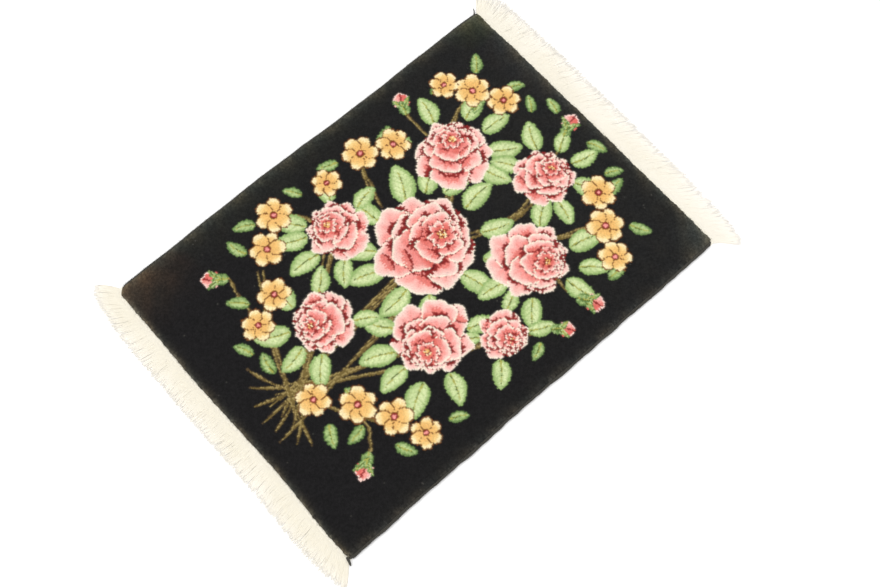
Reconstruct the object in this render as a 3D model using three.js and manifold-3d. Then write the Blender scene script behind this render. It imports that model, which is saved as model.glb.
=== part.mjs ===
// A small flat rug of knotted wool pile, with a binding of yarn on each long side and a fringe at each end.
// Millimetres, +Z up. X runs across the rug, Y along it, and the underside lies on Z = 0.
// The origin is the middle of the woven field. "Near" is the -Y end, "far" the +Y end,
// "left" the -X side and "right" the +X side.

import * as THREE from "three";
import { mergeVertices } from "three/addons/utils/BufferGeometryUtils.js";
import Module from "manifold-3d";

const wasm = await Module();
wasm.setup();

// Driving dimensions
const rugWidth = 600; // over both side bindings
const pileLength = 810; // from one end of the pile to the other
const clothThickness = 10; // foundation and pile together
const bindingWidth = 6.4;
const bindingHeight = 8.2;
const endBandWidth = 5; // the plain-woven band outside the pile at each end
const endBandHeight = 2.2;
const strandPitch = 4;
const strandWidth = 3; // where the fringe lies straight out; less where it leans and crowds
const strandGap = 0.7;
const strandHeight = 1.6;
const seam = 0.35; // clear gap between the cloth and the side bindings
const endSeam = 0.5; // clear gap at the ends, measured along Y, where the corners slant

const halfWidth = rugWidth / 2;
const halfLength = pileLength / 2;
const clothHalfWidth = halfWidth - bindingWidth - seam;

// How far each edge strays outwards from a straight line, as sines along it
const edgeWaves = {
  left: [
    { height: 1.5, length: 463, phase: 3.06 },
    { height: 1.1, length: 1620, phase: 1.89 },
    { height: 0.3, length: 116, phase: 1.32 },
  ],
  right: [
    { height: 0.6, length: 231, phase: -0.48 },
    { height: 0.5, length: 540, phase: -1.01 },
    { height: 0.3, length: 101, phase: -2.94 },
  ],
  near: [
    { height: 1.6, length: 400, phase: -2.94 },
    { height: 0.6, length: 240, phase: 2.13 },
    { height: 0.4, length: 171, phase: -0.82 },
  ],
  far: [
    { height: 1.2, length: 1200, phase: 1.59 },
    { height: 0.4, length: 200, phase: 0.77 },
    { height: 0.3, length: 86, phase: -2.19 },
  ],
};

// How much of each corner is cut off: along X, and back along Y
const cornerCuts = {
  near: { left: { along: 12, back: 11 }, right: { along: 5, back: 2.5 } },
  far: { left: { along: 6, back: 5 }, right: { along: 8, back: 6 } },
};

// The slow lumps in the pile's height
const pileLumps = [
  { height: 0.22, across: 190, along: 260, phase: 0.6 },
  { height: 0.16, across: 97, along: 133, phase: 2.2 },
];

// How the pile's rim rounds over: the height lost at each distance in from the edge
const pileRim = [
  { inset: 0, drop: 3.4 },
  { inset: 1, drop: 1.7 },
  { inset: 2.6, drop: 0.7 },
  { inset: 5.5, drop: 0.2 },
  { inset: 12, drop: 0 },
];
const fieldColumns = 24;
const fieldRows = 30;

// By the place of its root: how far the fringe leans from straight out to +X, in degrees, and its length
const fringeRun = {
  near: [
    { root: -300, lean: -52, length: 46 },
    { root: -276, lean: -42, length: 44 },
    { root: -230, lean: -22, length: 42 },
    { root: -185, lean: -9, length: 42 },
    { root: -110, lean: 3, length: 39 },
    { root: -30, lean: -4, length: 41 },
    { root: 60, lean: 2, length: 42 },
    { root: 130, lean: 7, length: 43 },
    { root: 190, lean: 3, length: 43 },
    { root: 245, lean: 13, length: 42 },
    { root: 280, lean: 31, length: 42 },
    { root: 300, lean: 44, length: 43 },
  ],
  far: [
    { root: -300, lean: -42, length: 46 },
    { root: -288, lean: -18, length: 48 },
    { root: -260, lean: 1, length: 50 },
    { root: -200, lean: 9, length: 51 },
    { root: -120, lean: 17, length: 53 },
    { root: -40, lean: 25, length: 56 },
    { root: 50, lean: 33, length: 58 },
    { root: 130, lean: 33, length: 58 },
    { root: 200, lean: 38, length: 57 },
    { root: 260, lean: 40, length: 56 },
    { root: 300, lean: 45, length: 50 },
  ],
};
const lockSizes = [3, 4, 2, 3, 5, 3, 2, 4, 3, 3, 4, 2]; // strands that cling together, in turn
const lockPull = 0.24; // how far a strand's tip is drawn to the middle of its lock
const rootsFrom = -296;
const rootsTo = 297;
const leastLength = 0.94; // of the length above, for the shortest strand
const lengthSpread = 0.12;

// Each end of each binding: how far short of the pile's end line it stops, and over what length it rounds
const bindingEnds = {
  left: { near: { short: 0.6, round: 9 }, far: { short: 0.5, round: 5 } },
  right: { near: { short: 0.4, round: 4 }, far: { short: 0.4, round: 4.5 } },
};
const roundProfile = [
  { share: 0, size: 0.4 },
  { share: 0.35, size: 0.78 },
  { share: 1, size: 1 },
];
const bindingSides = 8;
const stationGap = 2; // least distance between a binding's rounded end and its next section

// Ends of the binding yarn that stick out at two corners, each starting inside what carries it
const yarnTails = {
  left: [
    [
      { x: -298.5, y: 395, z: 5, thick: 2.6 },
      { x: -302.8, y: 399.8, z: 4.8, thick: 2.2 },
      { x: -307.5, y: 403.8, z: 3.2, thick: 1.9 },
      { x: -312.5, y: 406.8, z: 1.6, thick: 1.2 },
    ],
  ],
  right: [
    [
      { x: 296.6, y: -399, z: 5, thick: 3.6 },
      { x: 297, y: -404.5, z: 5, thick: 3.4 },
      { x: 297.4, y: -409.5, z: 4.8, thick: 2.6 },
    ],
    [
      { x: 292.6, y: -408.2, z: 4.8, thick: 2.6 },
      { x: 297.4, y: -408.6, z: 5.2, thick: 4.1 },
      { x: 302.8, y: -410, z: 4.8, thick: 3.7 },
      { x: 307.2, y: -411.6, z: 4, thick: 1.8 },
    ],
  ],
};
const yarnSides = 5;

const colours = { pile: 0x1e1d1c, binding: 0x3a3733, cotton: 0xf3ead2 };

// The sum of a list of sines at one place
function waveAt(waves, place) {
  let sum = 0;
  for (const { height, length, phase } of waves) {
    sum += height * Math.sin((2 * Math.PI * place) / length + phase);
  }
  return sum;
}

// A smooth value between the rows of a table
function smoothLookup(rows, at, keyName, valueName) {
  if (at <= rows[0][keyName]) return rows[0][valueName];
  for (let i = 1; i < rows.length; i++) {
    if (at <= rows[i][keyName]) {
      const share = (at - rows[i - 1][keyName]) / (rows[i][keyName] - rows[i - 1][keyName]);
      const eased = share * share * (3 - 2 * share);
      return rows[i - 1][valueName] + (rows[i][valueName] - rows[i - 1][valueName]) * eased;
    }
  }
  return rows[rows.length - 1][valueName];
}

// A repeatable number from 0 to 1 for a whole number
function chance(index, salt) {
  const raw = Math.sin(index * 12.9898 + salt * 78.233) * 43758.5453;
  return raw - Math.floor(raw);
}

// The outer edge of a binding, from the middle of the rug
function sideLine(side, y) {
  const sign = side === "left" ? -1 : 1;
  return sign * (halfWidth + waveAt(edgeWaves[side], y));
}

// The end of the pile, slanting back where a corner is cut
function endLine(end, x) {
  const sign = end === "near" ? -1 : 1;
  const cut = cornerCuts[end][x < 0 ? "left" : "right"];
  const intoCut = Math.max(0, Math.abs(x) - (halfWidth - cut.along));
  return sign * (halfLength + waveAt(edgeWaves[end], x) - (cut.back * intoCut) / cut.along);
}

// A closed body from rings of equal point counts, with a fan closing each end
function loftedGeometry(rings) {
  const count = rings[0].length;
  const points = rings.flat();
  const faces = [];
  for (let r = 0; r + 1 < rings.length; r++) {
    for (let i = 0; i < count; i++) {
      const a = r * count + i;
      const b = r * count + ((i + 1) % count);
      faces.push(a, b, b + count);
      faces.push(a, b + count, a + count);
    }
  }
  const last = (rings.length - 1) * count;
  for (let i = 1; i + 1 < count; i++) {
    faces.push(0, i + 1, i);
    faces.push(last, last + i, last + i + 1);
  }
  const geometry = new THREE.BufferGeometry().setFromPoints(points);
  geometry.setIndex(faces);
  return geometry;
}

const mergeDistance = 1e-4; // corners nearer to each other than this become one

function toSolid(geometry) {
  const bare = mergeVertices(geometry, mergeDistance);
  return new wasm.Manifold(
    new wasm.Mesh({
      numProp: 3,
      vertProperties: bare.attributes.position.array,
      triVerts: new Uint32Array(bare.index.array),
    }),
  );
}

function toGeometry(solid) {
  const mesh = solid.getMesh();
  const geometry = new THREE.BufferGeometry();
  geometry.setAttribute("position", new THREE.BufferAttribute(mesh.vertProperties, 3));
  geometry.setIndex(Array.from(mesh.triVerts));
  return geometry;
}

function namedMesh(name, geometry, colour) {
  geometry.computeVertexNormals();
  const material = new THREE.MeshStandardMaterial({ color: colour, roughness: 0.95, metalness: 0 });
  const mesh = new THREE.Mesh(geometry, material);
  mesh.name = name;
  return mesh;
}

// The cloth: a grid of points drawn out to the true outline, with the pile's rounded rim
function gridStations(half, fieldSteps) {
  const rim = pileRim.map((step) => step.inset);
  const inner = half - rim[rim.length - 1];
  const low = rim.map((inset) => inset - half);
  const middle = [];
  for (let i = 1; i < fieldSteps; i++) middle.push(-inner + (2 * inner * i) / fieldSteps);
  const high = rim.map((inset) => half - inset).reverse();
  return [...low, ...middle, ...high];
}

function clothPoint(x, y) {
  const end = y < 0 ? "near" : "far";
  const side = x < 0 ? "left" : "right";
  const sign = x < 0 ? -1 : 1;
  const laidY = (Math.abs(y) / halfLength) * endLine(end, x);
  const edge = sideLine(side, laidY) - sign * (bindingWidth + seam);
  return { x: (Math.abs(x) / clothHalfWidth) * edge, y: laidY };
}

function pileTop(x, y) {
  const inset = Math.min(clothHalfWidth - Math.abs(x), halfLength - Math.abs(y));
  let lumps = 0;
  for (const { height, across, along, phase } of pileLumps) {
    lumps += height * Math.sin((2 * Math.PI * x) / across + phase) * Math.cos((2 * Math.PI * y) / along);
  }
  return clothThickness + lumps - smoothLookup(pileRim, inset, "inset", "drop");
}

function clothGeometry() {
  const columns = gridStations(clothHalfWidth, fieldColumns);
  const rows = gridStations(halfLength, fieldRows);
  const across = columns.length;
  const points = [];
  for (const y of rows) {
    for (const x of columns) {
      const laid = clothPoint(x, y);
      points.push(new THREE.Vector3(laid.x, laid.y, pileTop(x, y)));
    }
  }
  const faces = [];
  for (let r = 0; r + 1 < rows.length; r++) {
    for (let c = 0; c + 1 < across; c++) {
      const a = r * across + c;
      faces.push(a, a + 1, a + across + 1);
      faces.push(a, a + across + 1, a + across);
    }
  }
  const rimOrder = [];
  for (let c = 0; c + 1 < across; c++) rimOrder.push(c);
  for (let r = 0; r + 1 < rows.length; r++) rimOrder.push(r * across + across - 1);
  for (let c = across - 1; c > 0; c--) rimOrder.push((rows.length - 1) * across + c);
  for (let r = rows.length - 1; r > 0; r--) rimOrder.push(r * across);
  const base = points.length;
  for (const i of rimOrder) points.push(new THREE.Vector3(points[i].x, points[i].y, 0));
  rimOrder.forEach((top, i) => {
    const next = (i + 1) % rimOrder.length;
    faces.push(top, base + i, base + next);
    faces.push(top, base + next, rimOrder[next]);
  });
  const outline = rimOrder.map((i) => new THREE.Vector2(points[i].x, points[i].y));
  for (const [a, b, c] of THREE.ShapeUtils.triangulateShape(outline, [])) {
    faces.push(base + a, base + c, base + b);
  }
  const geometry = new THREE.BufferGeometry().setFromPoints(points);
  geometry.setIndex(faces);
  return geometry;
}

// A ring of points round a place on a path that runs level in the direction "forward"
function ovalRing(centre, forward, width, height, sides) {
  const across = new THREE.Vector3().crossVectors(forward, new THREE.Vector3(0, 0, 1)).normalize();
  const toCorner = 1 / Math.cos(Math.PI / sides);
  const ring = [];
  for (let i = 0; i < sides; i++) {
    const angle = (2 * Math.PI * (i + 0.5)) / sides;
    const point = centre.clone().addScaledVector(across, Math.sin(angle) * toCorner * width * 0.5);
    point.z += Math.cos(angle) * toCorner * height * 0.5;
    ring.push(point);
  }
  return ring;
}

function levelDirections(places) {
  return places.map((p, i) => {
    const before = places[Math.max(0, i - 1)];
    const after = places[Math.min(places.length - 1, i + 1)];
    return new THREE.Vector3(after.x - before.x, after.y - before.y, 0).normalize();
  });
}

// A side binding: an oval of yarn along the cloth's edge, rounded off on its outer side at both ends
function bindingEndStations(side, end) {
  const sign = side === "left" ? -1 : 1;
  const { short, round } = bindingEnds[side][end];
  const tipOuterX = sign * (halfWidth - bindingWidth * (1 - roundProfile[0].size));
  const tip = endLine(end, tipOuterX) + (end === "near" ? short : -short);
  return roundProfile.map((step) => ({
    y: tip + (end === "near" ? 1 : -1) * step.share * round,
    size: step.size,
  }));
}

function bindingGeometry(side) {
  const sign = side === "left" ? -1 : 1;
  const start = bindingEndStations(side, "near");
  const stop = bindingEndStations(side, "far").reverse();
  const clothRows = gridStations(halfLength, fieldRows).map((y) => clothPoint(sign * clothHalfWidth, y).y);
  const from = start[start.length - 1].y + stationGap;
  const to = stop[0].y - stationGap;
  const between = clothRows.filter((y) => y > from && y < to);
  const stations = [...start, ...between.map((y) => ({ y, size: 1 })), ...stop];
  const forward = new THREE.Vector3(0, 1, 0);
  const rings = stations.map(({ y, size }) => {
    const inner = sideLine(side, y) - sign * bindingWidth;
    const centre = new THREE.Vector3(inner + (sign * bindingWidth * size) / 2, y, bindingHeight / 2);
    return ovalRing(centre, forward, bindingWidth * size, bindingHeight * size, bindingSides);
  });
  return loftedGeometry(rings);
}

function yarnTail(places) {
  const directions = levelDirections(places);
  const rings = places.map((p, i) =>
    ovalRing(new THREE.Vector3(p.x, p.y, p.z), directions[i], p.thick, p.thick, yarnSides),
  );
  return toSolid(loftedGeometry(rings));
}

function sideBinding(side) {
  let solid = toSolid(bindingGeometry(side));
  for (const places of yarnTails[side]) solid = solid.add(yarnTail(places));
  return namedMesh(`side_binding_${side}`, toGeometry(solid), colours.binding);
}

// The plain-woven band outside the pile at one end
const bandSteps = 40;
const bandInset = 0.5; // how far the band stops short of the rug's full width, on each side
const bandHalfSpan = halfWidth - bandInset;
const bandBevel = 0.4;
const bandSection = [
  { out: 0, z: 0 },
  { out: 0, z: endBandHeight },
  { out: endBandWidth - bandBevel, z: endBandHeight },
  { out: endBandWidth, z: endBandHeight - bandBevel },
  { out: endBandWidth, z: 0 },
];

function bandGeometry(end) {
  const sign = end === "near" ? -1 : 1;
  const corner = cornerCuts[end];
  const places = [-halfWidth + corner.left.along, halfWidth - corner.right.along];
  for (let i = 0; i <= bandSteps; i++) places.push(-bandHalfSpan + (2 * bandHalfSpan * i) / bandSteps);
  places.sort((a, b) => a - b);
  const rings = places.map((x) => {
    const inner = endLine(end, x) + sign * endSeam;
    const ring = bandSection.map((p) => new THREE.Vector3(x, inner + sign * p.out, p.z));
    return end === "near" ? ring : ring.reverse();
  });
  return loftedGeometry(rings);
}

// One strand: a three-sided length of yarn that leaves the band and lies level
const strandStations = [
  { share: 0, z: 0.3, size: 0.75 },
  { share: 0.14, z: 0, size: 1 },
  { share: 0.55, z: 0, size: 0.92 },
  { share: 1, z: 0, size: 0.55 },
];
const rootInside = 1.6; // how far a strand's root reaches into the band
const lockSwing = 1.9; // degrees between locks
const bowHeight = 2.4; // how far a strand bends aside on its way
const bowSpan = 232; // length along the edge over which the bend goes one way and back
// What sets the two fringes apart: salts of their chances, phase of their bend, and first lock
const fringeLuck = {
  near: { strandSalt: 1, lockSalt: 5, bowPhase: 1, firstLock: 0 },
  far: { strandSalt: 2, lockSalt: 6, bowPhase: 2, firstLock: 5 },
};

function strandRings(end, root, lockMiddle, index, lockIndex) {
  const sign = end === "near" ? -1 : 1;
  const { strandSalt, lockSalt, bowPhase } = fringeLuck[end];
  const swing = lockSwing * (chance(lockIndex, lockSalt) - 0.5);
  const lean = smoothLookup(fringeRun[end], root, "root", "lean") + swing;
  const trim = leastLength + lengthSpread * chance(index, strandSalt);
  const length = smoothLookup(fringeRun[end], root, "root", "length") * trim;
  const turn = THREE.MathUtils.degToRad(lean);
  const along = new THREE.Vector3(Math.sin(turn), sign * Math.cos(turn), 0);
  const aside = new THREE.Vector3(Math.cos(turn), -sign * Math.sin(turn), 0);
  const bow = bowHeight * Math.sin((2 * Math.PI * root) / bowSpan + bowPhase);
  const width = Math.min(strandWidth, strandPitch * Math.cos(turn) - strandGap);
  const outer = endLine(end, root) + sign * (endSeam + endBandWidth - rootInside);
  const places = strandStations.map(({ share }) => {
    const point = new THREE.Vector3(root, outer, 0).addScaledVector(along, (length + rootInside) * share);
    point.addScaledVector(aside, bow * 4 * share * (1 - share));
    point.x += (lockMiddle - root) * lockPull * share * share;
    return point;
  });
  const directions = levelDirections(places);
  return places.map((place, i) => {
    const { z, size } = strandStations[i];
    const across = new THREE.Vector3().crossVectors(directions[i], new THREE.Vector3(0, 0, 1));
    const ridge = place.clone().setZ(z + strandHeight * size);
    const right = place.clone().addScaledVector(across, (width * size) / 2).setZ(z);
    const left = place.clone().addScaledVector(across, (-width * size) / 2).setZ(z);
    return [ridge, right, left];
  });
}

function strandPlan(end) {
  const count = Math.floor((rootsTo - rootsFrom) / strandPitch) + 1;
  const plan = [];
  let lockIndex = fringeLuck[end].firstLock;
  while (plan.length < count) {
    const size = Math.min(lockSizes[lockIndex % lockSizes.length], count - plan.length);
    const first = rootsFrom + plan.length * strandPitch;
    const lockMiddle = first + ((size - 1) * strandPitch) / 2;
    for (let i = 0; i < size; i++) {
      plan.push({ root: first + i * strandPitch, lockMiddle, index: plan.length, lockIndex });
    }
    lockIndex++;
  }
  return plan;
}

function endFringe(end) {
  let solid = toSolid(bandGeometry(end));
  for (const { root, lockMiddle, index, lockIndex } of strandPlan(end)) {
    solid = solid.add(toSolid(loftedGeometry(strandRings(end, root, lockMiddle, index, lockIndex))));
  }
  return namedMesh(`fringe_${end}`, toGeometry(solid), colours.cotton);
}

// The whole rug
const rug = new THREE.Group();
rug.add(namedMesh("rug_cloth", clothGeometry(), colours.pile));
for (const side of ["left", "right"]) rug.add(sideBinding(side));
for (const end of ["near", "far"]) rug.add(endFringe(end));

export default rug;
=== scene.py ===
import math
import bpy
import numpy as np
from mathutils import Matrix, Vector


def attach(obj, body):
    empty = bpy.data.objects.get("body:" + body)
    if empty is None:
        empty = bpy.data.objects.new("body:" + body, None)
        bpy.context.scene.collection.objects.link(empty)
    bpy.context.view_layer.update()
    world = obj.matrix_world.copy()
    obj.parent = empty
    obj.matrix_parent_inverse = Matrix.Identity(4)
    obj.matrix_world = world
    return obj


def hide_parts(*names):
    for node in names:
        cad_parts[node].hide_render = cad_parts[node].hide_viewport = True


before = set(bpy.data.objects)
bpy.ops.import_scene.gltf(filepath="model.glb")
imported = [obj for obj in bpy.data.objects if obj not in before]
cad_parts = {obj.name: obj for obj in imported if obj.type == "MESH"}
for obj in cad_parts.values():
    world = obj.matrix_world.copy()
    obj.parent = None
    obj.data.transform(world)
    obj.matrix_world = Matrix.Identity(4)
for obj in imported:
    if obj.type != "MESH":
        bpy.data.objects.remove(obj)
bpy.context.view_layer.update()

# A small flat rug of knotted wool pile with a flower bouquet, bound at its sides and fringed at its ends.
# The frame is the CAD frame in metres; the tables below are in millimetres.
mm = 0.001

rug = {
    "width": 600.0,  # over both side bindings
    "pileLength": 810.0,
    "clothThickness": 10.0,
    "bindingWidth": 6.4,
    "bindingHeight": 8.2,
    "bandWidth": 5.0,
    "bandHeight": 2.2,
    "seam": 0.35,
    "endSeam": 0.5,
}
halfWidth = rug["width"] / 2
halfLength = rug["pileLength"] / 2
clothHalf = halfWidth - rug["bindingWidth"] - rug["seam"]

# How far each edge strays outwards from a straight line: height, length and phase of each sine
edgeWaves = {
    "left": [(1.5, 463, 3.06), (1.1, 1620, 1.89), (0.3, 116, 1.32)],
    "right": [(0.6, 231, -0.48), (0.5, 540, -1.01), (0.3, 101, -2.94)],
    "near": [(1.6, 400, -2.94), (0.6, 240, 2.13), (0.4, 171, -0.82)],
    "far": [(1.2, 1200, 1.59), (0.4, 200, 0.77), (0.3, 86, -2.19)],
}
# How much of each corner is cut off: along X, and back along Y
cornerCuts = {
    "near": {"left": (12, 11), "right": (5, 2.5)},
    "far": {"left": (3, 2.5), "right": (8, 6)},
}


def waves(rows, place):
    return sum(height * np.sin(2 * np.pi * place / length + phase) for height, length, phase in rows)


def sideLine(sign, y):
    return sign * (halfWidth + waves(edgeWaves["left" if sign < 0 else "right"], y))


def endLine(sign, x):
    end = "near" if sign < 0 else "far"
    leftCut, rightCut = cornerCuts[end]["left"], cornerCuts[end]["right"]
    along = np.where(x < 0, leftCut[0], rightCut[0])
    back = np.where(x < 0, leftCut[1], rightCut[1])
    intoCut = np.maximum(0, np.abs(x) - (halfWidth - along))
    return sign * (halfLength + waves(edgeWaves[end], x) - back * intoCut / along)


# Where a place on the straight knot grid lies on the real rug
def layCloth(x, y):
    laidY = np.abs(y) / halfLength * np.where(y < 0, endLine(-1, x), endLine(1, x))
    edge = np.where(x < 0, sideLine(-1, laidY), sideLine(1, laidY))
    edge = edge - np.sign(x) * (rug["bindingWidth"] + rug["seam"])
    return np.abs(x) / clothHalf * edge, laidY


# The light value of a colour given out of 255, as it looks on a screen
def linear(colour):
    share = np.asarray(colour, float) / 255
    return np.where(share <= 0.04045, share / 12.92, ((share + 0.055) / 1.055) ** 2.4)


# The dyed yarns as they look in soft daylight: red, green and blue out of 255
yarns = {
    "night": (24, 23, 24),
    "wine": (104, 22, 28),
    "crimson": (142, 42, 40),
    "coral": (226, 112, 102),
    "rose": (248, 158, 150),
    "blush": (252, 194, 184),
    "shell": (253, 218, 206),
    "cream": (253, 238, 218),
    "moss": (100, 130, 72),
    "leaf": (146, 176, 105),
    "lime": (188, 208, 143),
    "mist": (218, 230, 173),
    "vein": (172, 172, 84),
    "shade": (96, 112, 50),
    "amber": (240, 188, 112),
    "gold": (250, 216, 144),
    "butter": (254, 236, 188),
    "bark": (122, 74, 36),
    "umber": (74, 60, 40),
    "olive": (116, 98, 54),
    "straw": (164, 144, 90),
}
dye = {name: np.array(value) / 255 for name, value in yarns.items()}

# The knots of the pile: how many, and the ground that they cover in millimetres
knots = {"across": 254, "along": 344, "width": 586.5, "length": 810.0, "seed": 12}

dice = np.random.default_rng(knots["seed"])
knotX, knotY = np.meshgrid(
    ((np.arange(knots["across"]) + 0.5) / knots["across"] - 0.5) * knots["width"],
    ((np.arange(knots["along"]) + 0.5) / knots["along"] - 0.5) * knots["length"],
)
shake = dice.uniform(-1, 1, knotX.shape)
flutter = dice.uniform(-1, 1, knotX.shape)
chart = np.tile(dye["night"], knotX.shape + (1,))
relief = np.zeros(knotX.shape)  # how far each knot stands over the ground, as a share
reds = np.zeros(knotX.shape, bool)  # where a bloom lies


# 0 below low, 1 above high, smooth between
def blend(low, high, value):
    share = np.clip((value - low) / (high - low), 0, 1)
    return share * share * (3 - 2 * share)


def around(x, y, reach):
    column = np.flatnonzero(np.abs(knotX[0] - x) < reach)
    row = np.flatnonzero(np.abs(knotY[:, 0] - y) < reach)
    return slice(row[0], row[-1] + 1), slice(column[0], column[-1] + 1)


def turned(block, x, y, heading):
    dx, dy = knotX[block] - x, knotY[block] - y
    return dx * math.cos(heading) + dy * math.sin(heading), dy * math.cos(heading) - dx * math.sin(heading)


# Ties a colour into the chart: where is a mask, or each knot's share of the new colour
def tie(block, where, colour, height=None, isRed=False):
    share = np.asarray(where, float)
    colour = dye[colour] if isinstance(colour, str) else colour
    chart[block] = chart[block] + (colour - chart[block]) * share[..., None]
    if height is not None:
        relief[block] = relief[block] + (height - relief[block]) * (share > 0.5)
        reds[block] = np.where(share > 0.5, isRed, reds[block])


def mixed(first, second, share):
    return dye[first] + (dye[second] - dye[first]) * share[..., None]


# One petal from its middle; a higher tone makes it deeper, and luck is from 0 to 1
def petal(x, y, heading, long, wide, tone, luck):
    size = min(long, wide)
    block = around(x, y, max(long, wide) * 1.4 + 12)
    out, aside = turned(block, x, y, heading)
    angle = np.arctan2(aside / wide, out / long)
    reach = np.hypot(out / long, aside / wide)
    teeth = np.sin(angle * size * 1.1 + luck * 40)
    lobes = 0.08 * np.cos(3 * angle + luck * 7) + 0.05 * np.cos(6 * angle + luck * 13) - 0.05 * np.cos(angle)
    depth = (1 + lobes - reach) * size + 0.45 * teeth + 0.3 * shake[block]
    # Deep red where the petals behind dip under this one: jagged patches
    patch = np.sin(2 * angle + luck * 17) + 0.8 * np.sin(5 * angle + luck * 5)
    shade = np.clip(0.9 + 0.21 * size * np.clip(patch, -0.4, 1.1), 0.3, 9) + 1.3 * teeth + 0.6 * shake[block]
    behind = (depth <= 0) & reds[block]
    tie(block, behind & (depth > -shade), "crimson", 0.45, True)
    tie(block, behind & (depth > -0.4 * shade) & (shade > 5), "wine", 0.4, True)
    # From the coral heel to the pale lip, in streaks
    place = out / long + 0.16 * np.sin(angle * 7 + luck * 9) + 0.07 * flutter[block] - tone
    colour = mixed("coral", "rose", blend(-0.8, 0.15, place))
    colour = colour + (dye["blush"] - colour) * blend(-0.1, 0.7, place)[..., None]
    lit = (1 - blend(1.0, 0.34 * size + 2, depth + 0.7 * flutter[block])) * blend(-0.7, 0.2, place)
    colour = colour + (dye["shell"] - colour) * lit[..., None]
    inside = depth > 0
    tie(block, inside, colour, 0.9, True)
    rim = 0.7 + 0.05 * size + 0.5 * flutter[block]
    tie(block, inside & (depth < rim) & (place > -0.5 + 0.3 * shake[block]), "cream", 1.0, True)
    # A fold: a jagged stroke of deep red across the petal
    if luck > 0.35:
        bend = out / long + 0.25 - 0.5 * luck - 0.5 * (aside / wide) ** 2
        reachAside = (aside / wide - 0.25 * math.sin(luck * 40)) / (0.30 + 0.25 * luck)
        half = 0.08 * size + 0.7 * np.sin(aside * 1.25) + 0.8 * shake[block]
        half = half * (1 - 0.8 * reachAside**2) / long
        stroke = inside & (np.abs(bend) < half) & (np.abs(reachAside) < 1)
        tie(block, stroke, "crimson", 0.5, True)
        glow = inside & (bend > 0) & (bend < 4 * half + 0.08) & ~stroke & (np.abs(reachAside) < 0.95)
        tie(block, glow * 0.75, "coral")


# The rings of petals of a bloom; all sizes are shares of its radius
whorls = [
    {"petals": 8, "distance": 0.60, "long": 0.40, "wide": 0.38, "slip": 0.00, "tone": 0.10},
    {"petals": 6, "distance": 0.42, "long": 0.33, "wide": 0.37, "slip": 0.13, "tone": 0.18},
    {"petals": 5, "distance": 0.27, "long": 0.24, "wide": 0.30, "slip": 0.24, "tone": 0.28},
]
heart = {
    "slip": 0.30,
    "size": 0.25,
    "petals": 9,
    "distance": 0.18,
    "long": 0.105,
    "wide": 0.075,
    "tone": 0.35,
    "folds": 0.3,
    "stamens": 0.095,
}


# A full open bloom, turned to one side: three rings of petals, then small ones round golden stamens
def bloom(x, y, radius, facing, seed):
    luck = np.random.default_rng(seed)
    faceX, faceY = math.cos(facing), math.sin(facing)
    for whorl in whorls:
        middleX = x + faceX * whorl["slip"] * radius
        middleY = y + faceY * whorl["slip"] * radius
        start = luck.uniform(0, 2 * math.pi)
        for number in luck.permutation(whorl["petals"]):
            heading = start + 2 * math.pi * number / whorl["petals"] + luck.uniform(-0.2, 0.2)
            towards = math.cos(heading - facing)
            swell = luck.uniform(0.86, 1.12) * (1 - 0.16 * towards) * radius
            distance = whorl["distance"] * radius * (1 - 0.16 * towards)
            petal(
                middleX + math.cos(heading) * distance,
                middleY + math.sin(heading) * distance,
                heading,
                whorl["long"] * swell,
                whorl["wide"] * swell * luck.uniform(0.9, 1.15),
                whorl["tone"],
                luck.uniform(0, 1),
            )
    x, y = x + faceX * heart["slip"] * radius, y + faceY * heart["slip"] * radius
    block = around(x, y, radius)
    out, aside = turned(block, x, y, facing)
    reach = np.hypot(out * 1.15, aside) + 0.8 * shake[block]
    angle = np.arctan2(aside, out)
    tie(block, reach < radius * heart["size"] * (1 + 0.12 * np.sin(5 * angle + seed)), "crimson", 0.5, True)
    for number in range(heart["petals"]):
        heading = 2 * math.pi * number / heart["petals"] + luck.uniform(-0.2, 0.2)
        distance = heart["distance"] * radius * luck.uniform(0.9, 1.15)
        petal(
            x + math.cos(heading) * distance,
            y + math.sin(heading) * distance,
            heading,
            heart["long"] * radius,
            heart["wide"] * radius,
            heart["tone"],
            heart["folds"] * luck.uniform(0, 1),
        )
    middle = reach < radius * heart["stamens"]
    tie(block, middle, "crimson", 0.6, True)
    tie(block, middle & (flutter[block] > -0.1), "amber", 0.9, True)
    tie(block, middle & (flutter[block] > 0.6), "butter", 1.0, True)


# x, y is the end of the stalk; tones are the edge, the body and the light
def leaf(x, y, heading, length, width, bend, tones):
    block = around(x, y, length * 1.15 + 8)
    along, aside = turned(block, x, y, heading)
    share = np.clip(along / length, 0, 1)
    aside = aside - bend * length * np.sin(math.pi * share)
    half = width / 2 * np.sin(math.pi * share**0.8) ** 0.62 + 0.5 * np.sin(along * 0.9 + x)
    depth = half - np.abs(aside) + 0.4 * shake[block]
    inside = (depth > 0) & (along > 0) & (along < length)
    edge, body, light = tones
    cloud = 0.25 * np.sin(along / 7 + x) * np.sin(aside / 5 + y)
    middle = blend(0.8, width * 0.26, depth + 1.2 * flutter[block])
    tie(block, inside, mixed(edge, body, middle), 0.85)
    bright = np.clip(np.where(aside > 0, 0.95, 0.5) + cloud + 0.2 * flutter[block], 0, 1)
    tie(block, inside * middle * bright, light)
    ribs = np.abs(((along - np.abs(aside) * 0.8) / 10 + x) % 1 - 0.5) < 0.1
    tie(block, (inside & ribs & (depth > 2.4)) * 0.4, edge)
    rib = inside & (np.abs(aside) < 1.9 - 1.1 * share) & (share > 0.03) & (share < 0.84)
    tie(block, rib, "vein", 0.8)
    tie(block, rib & (aside < 0.2) & (np.sin(along / 4 + y) > -0.3), "shade", 0.6)


bigLeaf = ("leaf", "lime", "mist")
smallLeaf = ("moss", "leaf", "lime")


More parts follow.
